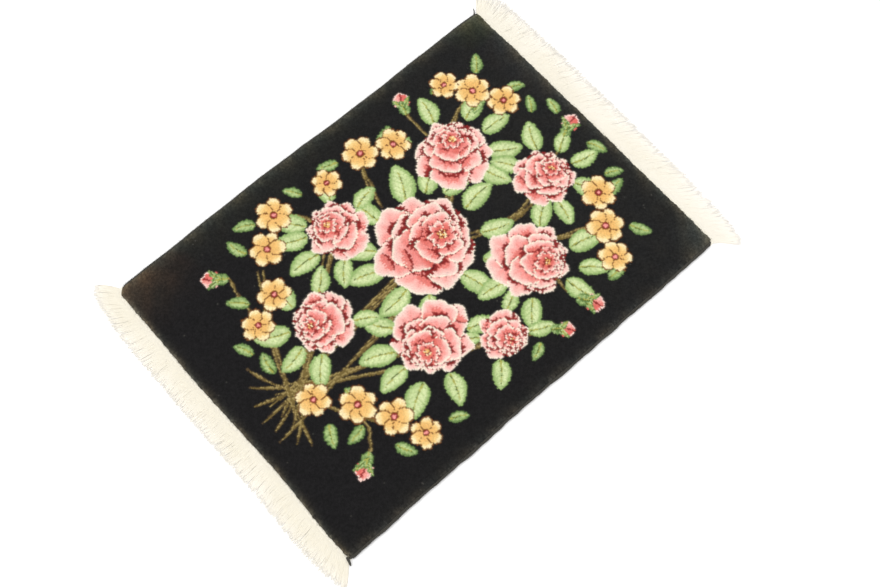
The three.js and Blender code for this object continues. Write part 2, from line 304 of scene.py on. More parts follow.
# A small open flower with six notched petals in a brown outline
def blossom(x, y, radius, turn, seed):
    luck = np.random.default_rng(seed)
    for number in range(6):
        heading = turn + number * math.pi / 3 + luck.uniform(-0.09, 0.09)
        size = radius * luck.uniform(0.40, 0.47)
        middleX, middleY = x + math.cos(heading) * radius * 0.58, y + math.sin(heading) * radius * 0.58
        block = around(middleX, middleY, radius)
        out, aside = turned(block, middleX, middleY, heading)
        angle = np.arctan2(aside, out)
        reach = np.hypot(out, aside * 1.1)
        notch = 0.10 * np.exp(-((angle / 0.22) ** 2))
        edge = size * (1 + 0.10 * np.cos(angle) - notch + 0.05 * np.cos(3 * angle))
        depth = edge - reach + 0.4 * shake[block]
        tie(block, (depth > -1.9 - 0.9 * flutter[block]) & (depth <= 0), "bark", 0.35)
        inside = depth > 0
        tone = blend(-0.5, 0.9, out / size + 0.25 * flutter[block])
        tie(block, inside, mixed("amber", "gold", tone), 0.9)
        tie(block, inside * blend(0.25, 0.8, out / size + 0.2 * shake[block]) * 0.9, "butter")
    block = around(x, y, radius)
    reach = np.hypot(*turned(block, x, y, 0)) + 0.6 * shake[block]
    tie(block, reach < radius * 0.32, "amber", 0.8)
    tie(block, reach < radius * 0.25, "bark", 0.5)
    tie(block, reach < radius * 0.20, "crimson", 0.7)
    tie(block, reach < radius * 0.11, "rose", 0.9)


# A closed bud held by green sepals; x, y is the end of its stalk
def bud(x, y, heading, length):
    def ahead(step):
        return x + math.cos(heading) * step, y + math.sin(heading) * step

    block = around(x, y, length * 1.5)
    along, aside = turned(block, x, y, heading)
    tip = np.hypot((along - length * 0.62) / 1.12, aside * 1.05) + 0.4 * shake[block]
    depth = length * 0.31 * (1 + 0.06 * np.cos(6 * np.arctan2(aside, along - length * 0.62))) - tip
    tone = blend(-0.1, 0.25, aside / length + 0.05 * flutter[block])
    tie(block, depth > 0, mixed("coral", "blush", tone), 0.9, True)
    tie(block, (depth > 0) & (depth < 2.4 + flutter[block]) & (along > length * 0.62), "shell", 1.0, True)
    fold = np.abs(aside + 0.25 * (along - length * 0.7)) < 1.5 + 0.7 * shake[block]
    tie(block, (depth > 1) & fold & (along > length * 0.45), "crimson", 0.55, True)
    leaf(*ahead(0), heading, length * 0.55, length * 0.42, 0, smallLeaf)
    for spread in (-0.5, 0.5):
        sepal = heading + spread * 1.15
        leaf(*ahead(length * 0.18), sepal, length * 0.66, length * 0.23, -0.16 * spread, smallLeaf)
    leaf(*ahead(length * 0.2), heading + 0.08, length * 0.42, length * 0.16, 0, smallLeaf)


# Ragged strokes side by side along a smooth bend, each thinner at its ends
def stem(start, by, stop, strands, spread):
    steps = int(math.dist(start, stop) / 1.2) + 8
    for strand in range(strands):
        offset = (strand - (strands - 1) / 2) * spread
        first = 0.05 * ((strand * 7) % 4)
        for step in range(steps + 1):
            t = first + (1 - first) * step / steps
            weights = ((1 - t) ** 2, 2 * t * (1 - t), t * t)
            x, y = (sum(w * p[k] for w, p in zip(weights, (start, by, stop))) for k in (0, 1))
            dx, dy = (2 * (1 - t) * (by[k] - start[k]) + 2 * t * (stop[k] - by[k]) for k in (0, 1))
            across = math.hypot(dx, dy)
            wander = offset * (0.75 + 0.35 * math.cos(5 * t + strand))
            wander += 1.3 * math.sin(13 * t + 2.3 * strand + stop[0])
            x, y = x - dy / across * wander, y + dx / across * wander
            block = around(x, y, 8)
            along, aside = turned(block, x, y, math.atan2(dy, dx))
            tapered = min(1, 0.3 + 7 * (t - first), 0.5 + 6 * (1 - t))
            half = (1.7 + 0.6 * math.sin(23 * t + strand * 1.7)) * tapered
            close = np.abs(along) < 1.6
            here = close & (np.abs(aside + 0.8 * shake[block]) < half)
            outline = close & (np.abs(aside) < half + 0.9) & ~here & (relief[block] == 0)
            tie(block, outline, "umber", 0.0)
            tie(block, here, "olive", 0.6)
            tie(block, here & (aside > 0.1) & (flutter[block] > -0.7), "straw", 0.7)


# The layout: every motif by its place, in millimetres
# The way of each stem: from, by way of, to, and its strands
stems = [
    ((62, -364), (34, -280), (-30, -190), 2),
    ((6, -358), (52, -250), (118, -75), 2),
    ((96, -356), (10, -250), (-135, -70), 3),
    ((34, -372), (20, -220), (-10, 30), 3),
    ((-22, -346), (96, -220), (190, 20), 2),
    ((-46, -330), (64, -296), (185, -215), 1),
    ((120, -340), (-20, -296), (-165, -205), 2),
    ((80, -370), (50, -160), (40, -60), 2),
    ((-20, 60), (-80, 160), (-120, 190), 3),
    ((0, 80), (70, 170), (30, 270), 3),
    ((100, 170), (140, 250), (150, 300), 2),
    ((-120, 180), (-190, 240), (-175, 300), 2),
    ((20, 270), (0, 330), (-16, 356), 1),
    ((140, 160), (200, 150), (224, 164), 1),
    ((-150, -70), (-210, -90), (-222, -130), 2),
    ((-120, 20), (-190, 40), (-226, 60), 2),
    ((-130, 190), (-190, 160), (-230, 176), 1),
    ((190, 24), (214, 50), (230, 90), 1),
    ((-70, -270), (-140, -262), (-190, -254), 1),
    ((140, -244), (176, -250), (192, -274), 1),
]
strandSpread = 7.0
# Each leaf and bud: the place of its stalk, its heading in degrees and its length
bigLeaves = [
    (-100, 60, 155, 74), (-90, 96, 122, 60), (66, 88, 62, 62), (60, 44, 12, 66),
    (-64, -36, 232, 62), (20, -42, 276, 66), (52, -22, 325, 56), (-24, 128, 96, 66),
    (26, 118, 70, 60), (-100, 4, 186, 60), (-30, -50, 250, 64), (-70, 120, 84, 56),
    (160, -130, 302, 66), (176, -88, 338, 58), (92, -130, 246, 64), (140, -16, 68, 52),
    (122, -136, 276, 58), (60, -104, 214, 58), (184, 168, 14, 58), (146, 212, 74, 64),
    (170, 104, 318, 58), (84, 200, 124, 60), (120, 90, 262, 56), (182, 200, 44, 50),
    (-180, 196, 166, 58), (-150, 242, 106, 60), (-80, 230, 58, 62), (-176, 138, 204, 58),
    (-66, 200, 22, 60), (-112, 250, 84, 56), (-184, -36, 164, 54), (-176, -96, 212, 60),
    (-124, -112, 268, 60), (-146, -10, 104, 50), (-90, -84, 320, 54), (-160, -106, 242, 58),
    (62, 300, 36, 58), (-24, 296, 152, 58), (34, 322, 78, 52), (66, 256, 346, 52),
    (-18, 250, 214, 54), (4, 322, 118, 46), (-78, -206, 186, 62), (-50, -236, 240, 62),
    (14, -222, 318, 60), (4, -148, 58, 48), (-70, -160, 134, 52), (-16, -238, 282, 54),
    (208, 58, 66, 46), (214, -10, 318, 52), (158, 54, 120, 44), (164, -8, 232, 40),
]
smallLeaves = [
    (-214, 96, 112, 42), (-234, 22, 248, 38), (-236, -158, 244, 40), (-204, -204, 196, 40),
    (-132, -256, 226, 40), (-148, 336, 64, 36), (-206, 318, 138, 40), (120, 330, 102, 40),
    (182, 318, 28, 40), (230, 222, 84, 36), (-52, 372, 168, 36), (22, 370, 22, 38),
    (112, -292, 334, 42), (150, -252, 282, 38), (208, -232, 28, 38), (-12, -302, 168, 42),
    (84, -236, 24, 40), (234, -140, 62, 34), (-60, -306, 204, 36), (-168, 292, 300, 36),
    (-226, -64, 216, 34), (210, -170, 340, 34), (-226, 232, 110, 34), (236, 60, 296, 34),
    (-84, 340, 150, 34), (86, 352, 62, 34),
]
buds = [
    (-14, 348, 112, 48), (218, 158, 32, 50), (-226, 172, 158, 46), (230, 88, 48, 42),
    (-190, -254, 232, 48), (190, -272, 304, 48),
]
# Each blossom: its middle and its radius
blossoms = [
    (-222, 62, 30), (-198, 116, 28), (-228, -124, 30), (-188, -172, 29), (-216, -18, 24),
    (-184, 290, 30), (-134, 318, 28), (-226, 260, 24),
    (104, 320, 29), (156, 286, 30), (208, 258, 26),
    (118, -236, 30), (172, -204, 29), (64, -284, 27), (226, -182, 25), (-118, -214, 27), (-94, -268, 26),
]
blooms = [
    {"at": (20, 275), "radius": 54, "facing": 100, "seed": 3},
    {"at": (-30, -190), "radius": 54, "facing": 250, "seed": 4},
    {"at": (190, 24), "radius": 44, "facing": 10, "seed": 5},
    {"at": (-140, -62), "radius": 56, "facing": 200, "seed": 6},
    {"at": (-122, 186), "radius": 68, "facing": 140, "seed": 7},
    {"at": (122, 152), "radius": 70, "facing": 40, "seed": 8},
    {"at": (116, -74), "radius": 68, "facing": 300, "seed": 9},
    {"at": (-20, 40), "radius": 92, "facing": 80, "seed": 10},
]


# Stems lie lowest and blooms on top
def paint():
    for start, by, stop, strands in stems:
        stem(start, by, stop, strands, strandSpread)
    for tones, width, rows in ((bigLeaf, 0.60, bigLeaves), (smallLeaf, 0.54, smallLeaves)):
        for number, (x, y, heading, length) in enumerate(rows):
            bend = 0.05 if number % 2 else -0.05
            leaf(x, y, math.radians(heading), length, length * width, bend, tones)
    for x, y, heading, length in buds:
        bud(x, y, math.radians(heading), length)
    for number, (x, y, radius) in enumerate(blossoms):
        blossom(x, y, radius, number * 0.7, 100 + number)
    for row in blooms:
        bloom(*row["at"], row["radius"], math.radians(row["facing"]), row["seed"])


# Where the black ground is painted lighter: brown at one corner, olive at the far ones, and a painted
# highlight along the rims. These patches are partly faded dye and partly painted light: a lighter far end and
# glare at the corners.
lighterGround = [
    {"at": (-300, -397), "reach": (56, 88), "colour": (66, 53, 41)},
    {"at": (-300, 405), "reach": (58, 60), "colour": (53, 57, 42)},
    {"at": (298, 405), "reach": (62, 48), "colour": (62, 63, 57)},
    {"at": (-180, 420), "reach": (130, 60), "colour": (44, 44, 42)},
    {"at": (0, 480), "reach": (700, 370), "colour": (31, 31, 30)},
    {"at": (-330, -150), "reach": (70, 340), "colour": (38, 39, 34)},
    {"at": (330, 0), "reach": (60, 600), "colour": (27, 27, 26)},
]
# Painted highlight along each rim of the pile: its colour, and how far in it reaches
rimHighlights = {
    "near": {"colour": (89, 85, 73), "depth": 3.5},
    "far": {"colour": (83, 81, 70), "depth": 6.5},
    "left": {"colour": (63, 62, 54), "depth": 6.2},
    "right": {"colour": (54, 52, 48), "depth": 4.3},
}
# How the painted rim highlight breaks into patches and specks
rimHighlightPattern = {"patchy": 0.3, "speckle": 0.55, "speckleReach": 8}
lint = {"share": 0.0008, "colour": (60, 59, 55)}
# How much light the dyed wool sends back, and how far that differs from knot to knot
nap = {"brightness": 0.93, "motifSpread": 0.07, "groundSpread": 0.4}


# The light values of the dyed knots, with the lighter ground (partly faded dye, partly painted light), the
# painted highlight along the rims and the lint
def lightenGround(dyed):
    night = linear(yarns["night"])
    ground = (relief == 0)[..., None]
    lifted = np.zeros(dyed.shape)
    for patch in lighterGround:
        awayX = (knotX - patch["at"][0]) / patch["reach"][0]
        awayY = (knotY - patch["at"][1]) / patch["reach"][1]
        share = np.exp(-(awayX**2 + awayY**2))[..., None]
        lifted = np.maximum(lifted, share * (linear(patch["colour"]) - night))
    halfX, halfY = knots["width"] / 2, knots["length"] / 2
    away = {"near": halfY + knotY, "far": halfY - knotY, "left": halfX + knotX, "right": halfX - knotX}
    # Each rim gets a painted highlight that fades inwards, in patches and specks
    for side, rim in rimHighlights.items():
        run = knotX if side in ("near", "far") else knotY
        patchy = rimHighlightPattern["patchy"] * np.sin(run / 5 + 2 * np.sin(run / 17))
        patchy = 1 + patchy * np.sin(run / 29 + away[side] / 3)
        speckled = 1 + rimHighlightPattern["speckle"] * shake * (away[side] < rimHighlightPattern["speckleReach"])
        share = np.exp(-away[side] / rim["depth"]) * patchy * speckled
        lifted = lifted + share[..., None] * (linear(rim["colour"]) - night)
    cloud = np.sin(knotX / 13 + 2 * np.sin(knotY / 31)) * np.sin(knotY / 11 + np.sin(knotX / 19))
    tint = np.stack([cloud, np.zeros(cloud.shape), -cloud], axis=-1) * 0.12
    lifted = lifted * (1 + 0.18 * cloud + 0.2 * flutter)[..., None] * (1 + tint)
    dyed = dyed + ground * lifted
    specks = ground[..., 0] & (shake > 1 - 2 * lint["share"])
    dyed[specks] = linear(lint["colour"])
    return dyed


print("knot chart")
paint()


# Small helpers for node trees

def feed(tree, socket, value):
    if isinstance(value, bpy.types.NodeSocket):
        tree.links.new(value, socket)
    else:
        socket.default_value = value


def addNode(tree, kind, inputs=None, **settings):
    made = tree.nodes.new(kind)
    for name, value in settings.items():
        setattr(made, name, value)
    for name, value in (inputs or {}).items():
        feed(tree, made.inputs[name], value)
    return made


def calc(tree, operation, *values):
    return addNode(tree, "ShaderNodeMath", dict(enumerate(values)), operation=operation).outputs[0]


# Two or more values, from left to right
def times(tree, first, *others):
    for other in others:
        first = calc(tree, "MULTIPLY", first, other)
    return first


def plus(tree, first, *others):
    for other in others:
        first = calc(tree, "ADD", first, other)
    return first


def minus(tree, first, second):
    return calc(tree, "SUBTRACT", first, second)


def scaled(tree, vector, factor):
    inputs = {0: vector, "Scale": factor}
    return addNode(tree, "ShaderNodeVectorMath", inputs, operation="SCALE").outputs["Vector"]


def plusVector(tree, first, *others):
    for other in others:
        made = addNode(tree, "ShaderNodeVectorMath", {0: first, 1: other}, operation="ADD")
        first = made.outputs["Vector"]
    return first


def combine(tree, x, y, z):
    return addNode(tree, "ShaderNodeCombineXYZ", {0: x, 1: y, 2: z}).outputs[0]


def noise(tree, place, scale, detail=2.0, roughness=0.5):
    inputs = {"Vector": place, "Scale": scale, "Detail": detail, "Roughness": roughness}
    return addNode(tree, "ShaderNodeTexNoise", inputs).outputs[0]


def remap(tree, value, fromLow, fromHigh, toLow, toHigh):
    inputs = {0: value, 1: fromLow, 2: fromHigh, 3: toLow, 4: toHigh}
    return addNode(tree, "ShaderNodeMapRange", inputs).outputs[0]


def mixColour(tree, share, first, second, blendType="MIX"):
    made = addNode(tree, "ShaderNodeMix", data_type="RGBA", blend_type=blendType)
    feed(tree, made.inputs[0], share)
    feed(tree, made.inputs[6], first)
    feed(tree, made.inputs[7], second)
    return made.outputs[2]


def rgba(colour):
    return (*linear(colour), 1.0)


# Shared shader groups

# Fine fibres on any yarn: they lighten and darken its colour, and raise its surface.
def fibreGroup():
    tree = bpy.data.node_groups.new("yarnFibres", "ShaderNodeTree")
    for name, kind, value in (
        ("Colour", "NodeSocketColor", (0.5, 0.5, 0.5, 1)),
        ("Place", "NodeSocketVector", (0, 0, 0)),
        ("Fineness", "NodeSocketFloat", 900.0),
        ("Contrast", "NodeSocketFloat", 0.2),
        ("Patches", "NodeSocketFloat", 0.1),
    ):
        socket = tree.interface.new_socket(name, in_out="INPUT", socket_type=kind)
        socket.default_value = value
    tree.interface.new_socket("Colour", in_out="OUTPUT", socket_type="NodeSocketColor")
    tree.interface.new_socket("Height", in_out="OUTPUT", socket_type="NodeSocketFloat")
    into, out = tree.nodes.new("NodeGroupInput"), tree.nodes.new("NodeGroupOutput")
    fine = noise(tree, into.outputs["Place"], into.outputs["Fineness"], 3.0, 0.6)
    coarse = noise(tree, into.outputs["Place"], 17.0, 3.0, 0.6)
    fineLift = times(tree, minus(tree, fine, 0.5), into.outputs["Contrast"])
    coarseLift = times(tree, minus(tree, coarse, 0.5), into.outputs["Patches"])
    lift = plus(tree, plus(tree, fineLift, coarseLift), 1.0)
    tree.links.new(scaled(tree, into.outputs["Colour"], lift), out.inputs["Colour"])
    tree.links.new(fine, out.inputs["Height"])
    return tree


yarnFibres = fibreGroup()


def startMaterial(name):
    material = bpy.data.materials.new(name)
    material.use_nodes = True
    tree = material.node_tree
    return material, tree, tree.nodes["Principled BSDF"]


def placeOn(tree):
    return tree.nodes.new("ShaderNodeTexCoord").outputs["Object"]


def fibres(tree, colour, place, fineness, contrast, patches):
    made = addNode(tree, "ShaderNodeGroup", node_tree=yarnFibres)
    for name, value in zip(("Colour", "Place", "Fineness", "Contrast", "Patches"),
                           (colour, place, fineness, contrast, patches)):
        feed(tree, made.inputs[name], value)
    return made.outputs["Colour"], made.outputs["Height"]


def finishCloth(tree, shader, colour, height, bump, roughness, sheen):
    feed(tree, shader.inputs["Base Color"], colour)
    raised = addNode(tree, "ShaderNodeBump", {"Height": height, "Distance": bump, "Strength": 1.0})
    tree.links.new(raised.outputs[0], shader.inputs["Normal"])
    shader.inputs["Roughness"].default_value = roughness
    shader.inputs["Specular IOR Level"].default_value = 0.12
    shader.inputs["Sheen Weight"].default_value = sheen
    shader.inputs["Sheen Roughness"].default_value = 0.55


# Cut wool tufts: each knot keeps its dye, and fibres of its neighbours stray in.
def pileMaterial():
    look = {
        "tuftsPerMetre": 430.0,
        "strayFineness": 1500.0,
        "fineness": 1100.0,
        "contrast": 0.42,
        "patches": 0.16,
        "gapShade": 0.84,
        "bump": 0.0006,
        "roughness": 0.92,
        "sheen": 0.03,
    }
    material, tree, shader = startMaterial("woolPile")
    place = placeOn(tree)
    own = addNode(tree, "ShaderNodeAttribute", attribute_name="knotColour").outputs["Color"]
    nearby = addNode(tree, "ShaderNodeAttribute", attribute_name="softColour").outputs["Color"]
    stray = remap(tree, noise(tree, place, look["strayFineness"], 1.0), 0.42, 0.62, 0.0, 0.9)
    colour = mixColour(tree, stray, own, nearby)
    colour, fine = fibres(tree, colour, place, look["fineness"], look["contrast"], look["patches"])
    tufts = addNode(tree, "ShaderNodeTexVoronoi", {"Vector": place, "Scale": look["tuftsPerMetre"]})
    tuft = remap(tree, tufts.outputs["Distance"], 0.0, 0.75, 1.0, 0.0)
    # Painted shade: the colour is darkened in the gaps between the tufts
    tuftGapShade = remap(tree, tuft, 0.0, 0.6, look["gapShade"], 1.0)
    colour = mixColour(tree, 1.0, colour, tuftGapShade, "MULTIPLY")
    height = plus(tree, times(tree, tuft, 0.8), times(tree, fine, 0.5))
    finishCloth(tree, shader, colour, height, look["bump"], look["roughness"], look["sheen"])
    return material


# The backs of the knots in rows, with cotton weft between them
def backMaterial():
    look = {
        "knotsPerMetre": 433.0,
        "cotton": (214, 204, 178),
        "fineness": 1100.0,
        "contrast": 0.35,
        "patches": 0.12,
        "bump": 0.0005,
        "roughness": 0.9,
        "sheen": 0.05,
    }
    material, tree, shader = startMaterial("knotBacks")
    place = placeOn(tree)
    own = addNode(tree, "ShaderNodeAttribute", attribute_name="knotColour").outputs["Color"]
    split = addNode(tree, "ShaderNodeSeparateXYZ", {0: place})
    turn = 2 * math.pi * look["knotsPerMetre"]
    across = calc(tree, "SINE", times(tree, split.outputs[0], turn))
    along = calc(tree, "SINE", times(tree, split.outputs[1], turn))
    bead = plus(tree, times(tree, across, 0.35), times(tree, along, 0.65))
    weft = remap(tree, bead, -0.8, -0.45, 0.75, 0.0)
    colour = mixColour(tree, weft, own, rgba(look["cotton"]))
    colour, fine = fibres(tree, colour, place, look["fineness"], look["contrast"], look["patches"])
    height = plus(tree, bead, times(tree, fine, 0.4))
    finishCloth(tree, shader, colour, height, look["bump"], look["roughness"], look["sheen"])
    return material


def yarnMaterial(name, colour, fineness, contrast, patches, bump, sheen):
    material, tree, shader = startMaterial(name)
    place = placeOn(tree)
    dyed, fine = fibres(tree, rgba(colour), place, fineness, contrast, patches)
    finishCloth(tree, shader, dyed, fine, bump, 0.9, sheen)
    return material


# Undyed cotton: one cream where it leaves the rug, and a paler one towards its tips, which is a painted
# highlight
def cottonMaterial(name, root, tip):
    material, tree, shader = startMaterial(name)
    place = placeOn(tree)
    glare = addNode(tree, "ShaderNodeAttribute", attribute_name="glare")
    patches = remap(tree, noise(tree, place, 11.0, 2.0), 0.4, 0.6, -0.1, 0.1)
    share = remap(tree, plus(tree, glare.outputs["Fac"], patches), 0.0, 1.0, 0.0, 1.0)
    colour = mixColour(tree, share, rgba(root), rgba(tip))
    dyed, fine = fibres(tree, colour, place, 900.0, 0.06, 0.04)
    finishCloth(tree, shader, dyed, fine, 0.0002, 0.9, 0.1)
    return material


print("materials")
pileWool = pileMaterial()
knotBacks = backMaterial()
bindingWool = yarnMaterial(
    "bindingWool", (72, 70, 64), fineness=1300.0, contrast=0.6, patches=0.35, bump=0.0006, sheen=0.05
)
cottonThread = cottonMaterial("cottonThread", (237, 231, 215), (250, 246, 240))
cottonBand = cottonMaterial("cottonBand", (246, 241, 227), (248, 243, 231))


# The pile and the foundation: one grid of knots seen from above, one from below
pile = {
    "rimStep": 0.8,  # one finer row of faces just inside the rim
    "motifLift": 0.9,
    "carving": 0.55,
    "shaggy": 0.12,
    "jitter": 0.34,  # how far a knot strays sideways
    "jitterInset": 1.5,  # but not so near the rim
    "ragged": 0.5,
    "sideLean": 3.0,  # how far the tufts at the sides lean over the binding
    "leanReach": 7.0,
    "leanAtEnds": 0.3,  # the share of it that is left at the corners
    "wallHeights": [5.0, 3.4, 1.7],
    "wallSwell": [0.25, 0.15, -0.1],
    "wallJitter": 0.12,
    "wallShade": 0.9,
    "lumps": [(0.22, 190, 260, 0.6), (0.16, 97, 133, 2.2)],
    # How far the top drops at the ends and at the sides: distance from the rim, and drop
    "rim": [(0, 3.4), (1, 1.7), (2.6, 0.7), (5.5, 0.2), (12, 0)],
    "sideRim": [(0, 2.4), (0.8, 1.2), (2.3, 0.6), (5.5, 0.2), (12, 0)],
    # How far the ends stray out: amount, length and phase of each wave
    "fray": [(0.4, 8.3, 0.4), (0.4, 19.0, 1.9), (0.35, 41.0, 0.7)],
    "endPull": {"near": 0.2, "far": 0.7},  # how far the tufts at each end stand back from their line
    "seed": 31,
}
foundation = {"top": 1.8, "underside": 0.0}


def rimDrop(inset, rim):
    drop = np.full(inset.shape, float(rim[-1][1]))
    for (low, lowDrop), (high, highDrop) in zip(rim, rim[1:]):
        within = (inset >= low) & (inset <= high)
        drop = np.where(within, lowDrop + (highDrop - lowDrop) * blend(low, high, inset), drop)
    return drop


def gridLines(half, count, rimStep):
    lines = np.linspace(-half, half, count + 1)
    return np.sort(np.append(lines, (-half + rimStep, half - rimStep)))


def knotIndex(lines, half, count):
    middle = (lines[1:] + lines[:-1]) / 2
    return np.clip(((middle + half) / (2 * half) * count).astype(int), 0, count - 1)


# A value for each crossing of the grid lines: the mean of the knots round it
def toLines(values, rowOf, columnOf):
    spread = values[np.ix_(rowOf, columnOf)]
    edged = np.pad(spread, [(1, 1), (1, 1)] + [(0, 0)] * (values.ndim - 2), mode="edge")
    return (edged[1:, 1:] + edged[:-1, 1:] + edged[1:, :-1] + edged[:-1, :-1]) / 4


# The outline of the grid, once round, seen from above against the clock
def rimLoop(rows, columns):
    number = np.arange(rows * columns).reshape(rows, columns)
    return np.concatenate([number[0, :-1], number[:-1, -1], number[-1, :0:-1], number[:0:-1, 0]])


def meshPiece(name, points, faces, material, smooth=True):
    mesh = bpy.data.meshes.new(name)
    mesh.from_pydata([tuple(p) for p in points], [], faces)
    mesh.materials.append(material)
    mesh.polygons.foreach_set("use_smooth", [smooth] * len(mesh.polygons))
    mesh.update()
    piece = bpy.data.objects.new(name, mesh)
    bpy.context.scene.collection.objects.link(piece)
    return piece


def knotFaces(rows, columns, flip=False):
    number = np.arange(rows * columns).reshape(rows, columns)
    a, b = number[:-1, :-1].ravel(), number[:-1, 1:].ravel()
    c, d = number[1:, 1:].ravel(), number[1:, :-1].ravel()
    return np.stack([a, d, c, b] if flip else [a, b, c, d], axis=1).tolist()


# One colour for each face, and a softer one that runs from point to point
def paintFaces(mesh, faceColours, pointColours):
    own = mesh.attributes.new("knotColour", "FLOAT_COLOR", "CORNER")
    counts = np.zeros(len(mesh.polygons), np.int32)
    mesh.polygons.foreach_get("loop_total", counts)
    corners = np.repeat(np.c_[faceColours, np.ones(len(faceColours))], counts, axis=0)
    own.data.foreach_set("color", corners.astype(np.float32).ravel())
    soft = mesh.attributes.new("softColour", "FLOAT_COLOR", "POINT")
    points = np.c_[pointColours, np.ones(len(pointColours))]
    soft.data.foreach_set("color", points.astype(np.float32).ravel())


def weaveCloth():
    columnsAt = gridLines(clothHalf, knots["across"], pile["rimStep"])
    rowsAt = gridLines(halfLength, knots["along"], pile["rimStep"])
    columnOf = knotIndex(columnsAt, clothHalf, knots["across"])
    rowOf = knotIndex(rowsAt, halfLength, knots["along"])
    rows, columns = len(rowsAt), len(columnsAt)
    gridX, gridY = np.meshgrid(columnsAt, rowsAt)
    sideInset, endInset = clothHalf - np.abs(gridX), halfLength - np.abs(gridY)
    inset = np.minimum(sideInset, endInset)
    inner = inset > pile["jitterInset"]
    luck = np.random.default_rng(pile["seed"])
    strayX, strayY, strayZ = luck.uniform(-1, 1, (3, rows, columns))
    laidX, laidY = layCloth(gridX + strayX * pile["jitter"] * inner, gridY + strayY * pile["jitter"] * inner)
    edge = inset < 0.01
    lean = pile["sideLean"] * np.sign(gridX) * np.clip((endInset + 3) / 12, pile["leanAtEnds"], 1)
    laidX = laidX + strayX * pile["ragged"] * edge
    laidX = laidX + lean * np.clip(1 - sideInset / pile["leanReach"], 0, 1) ** 2
    laidY = laidY + strayY * pile["ragged"] * edge
    endPull = np.where(gridY < 0, pile["endPull"]["near"], pile["endPull"]["far"])
    frayed = waves(pile["fray"], gridX)
    laidY = laidY + np.sign(gridY) * (frayed - endPull) * blend(0, 2.5, 3 - endInset)
    lumps = sum(
        height * np.sin(2 * np.pi * gridX / across + phase) * np.cos(2 * np.pi * gridY / along)
        for height, across, along, phase in pile["lumps"]
    )
    motif = toLines((relief > 0).astype(float), rowOf, columnOf)
    raised = toLines(relief, rowOf, columnOf)
    top = rug["clothThickness"] + lumps
    top -= np.maximum(rimDrop(endInset, pile["rim"]), rimDrop(sideInset, pile["sideRim"]))
    top += pile["motifLift"] * (raised - 0.5 * (motif > 0)) - pile["carving"] * 4 * motif * (1 - motif)
    top += pile["shaggy"] * strayZ
    points = [np.stack([laidX, laidY, top], axis=-1).reshape(-1, 3)]
    faces = knotFaces(rows, columns)
    ring = rimLoop(rows, columns)
    rimPoints = points[0][ring]
    leant = (lean * (sideInset < 0.01)).ravel()[ring]
    outward = np.roll(rimPoints, -1, axis=0) - np.roll(rimPoints, 1, axis=0)
    outward = np.stack([outward[:, 1], -outward[:, 0]], axis=1)
    outward /= np.linalg.norm(outward, axis=1)[:, None]
    previous = ring
    count = rows * columns
    for height, swell in zip(pile["wallHeights"], pile["wallSwell"]):
        wallRow = rimPoints.copy()
        wallRow[:, :2] += outward * (swell + pile["wallJitter"] * luck.uniform(-1, 1, len(ring)))[:, None]
        wallRow[:, 0] -= leant
        wallRow[:, 2] = height
        points.append(wallRow)
        number = np.arange(count, count + len(ring))
        faces += np.stack([previous, number, np.roll(number, -1), np.roll(previous, -1)], axis=1).tolist()
        previous, count = number, count + len(ring)
    faces.append(previous[::-1].tolist())
    piece = meshPiece("rugPile", np.concatenate(points) * mm, faces, pileWool)

    spread = np.where(relief > 0, nap["motifSpread"], nap["groundSpread"])
    uneven = 1 + spread * luck.uniform(-1, 1, chart.shape[:2])
    dyed = lightenGround(linear(np.clip(chart, 0, 1) * 255)) * nap["brightness"] * uneven[..., None]
    faceDye = dyed[np.ix_(rowOf, columnOf)].reshape(-1, 3)
    softDye = toLines(dyed, rowOf, columnOf).reshape(-1, 3)
    wallCount = len(pile["wallHeights"])
    # The pile's sides take the rim's colour darkened: painted shade
    shadedWallDye = np.tile(softDye[ring] * pile["wallShade"], (wallCount, 1))
    paintFaces(
        piece.data,
        np.concatenate([faceDye, shadedWallDye, linear(yarns["night"])[None]]),
        np.concatenate([softDye, shadedWallDye]),
    )
    return piece, weaveBack(gridX, gridY, faceDye, softDye)


# The foundation under the pile: its knots seen from below
def weaveBack(gridX, gridY, faceDye, softDye):
    rows, columns = gridX.shape
    ring = rimLoop(rows, columns)
    backX, backY = layCloth(gridX, gridY)
    under = np.stack([backX, backY, np.full(backX.shape, foundation["underside"])], axis=-1).reshape(-1, 3)
    rim = under[ring].copy()
    rim[:, 2] = foundation["top"]
    number = np.arange(rows * columns, rows * columns + len(ring))
    faces = knotFaces(rows, columns, flip=True)
    faces += np.stack([ring, np.roll(ring, -1), np.roll(number, -1), number], axis=1).tolist()
    faces.append(number.tolist())
    back = meshPiece("rugBack", np.concatenate([under, rim]) * mm, faces, knotBacks)
    paintFaces(
        back.data,
        np.concatenate([faceDye, softDye[ring], linear(yarns["night"])[None]]),
        np.concatenate([softDye, softDye[ring]]),
    )
    return back


print("pile and foundation")
rugPile, rugBack = weaveCloth()


# Geometry Nodes: each tree takes a guide line, whole numbers and measures, and gives back real faces
def startTree(name, wholes, measures):
    tree = bpy.data.node_groups.new(name, "GeometryNodeTree")
    tree.interface.new_socket("Guide", in_out="INPUT", socket_type="NodeSocketGeometry")
    for kind, labels in (("NodeSocketInt", wholes), ("NodeSocketFloat", measures)):
        for label in labels:
            tree.interface.new_socket(label, in_out="INPUT", socket_type=kind)
    tree.interface.new_socket("Faces", in_out="OUTPUT", socket_type="NodeSocketGeometry")
    return tree, tree.nodes.new("NodeGroupInput").outputs, tree.nodes.new("NodeGroupOutput")


def endTree(tree, out, geometry, material):
    real = addNode(tree, "GeometryNodeRealizeInstances", {0: geometry})
    smooth = addNode(tree, "GeometryNodeSetShadeSmooth", {0: real.outputs[0]})
    dressed = addNode(tree, "GeometryNodeSetMaterial", {0: smooth.outputs[0], "Material": material})
    tree.links.new(dressed.outputs[0], out.inputs[0])


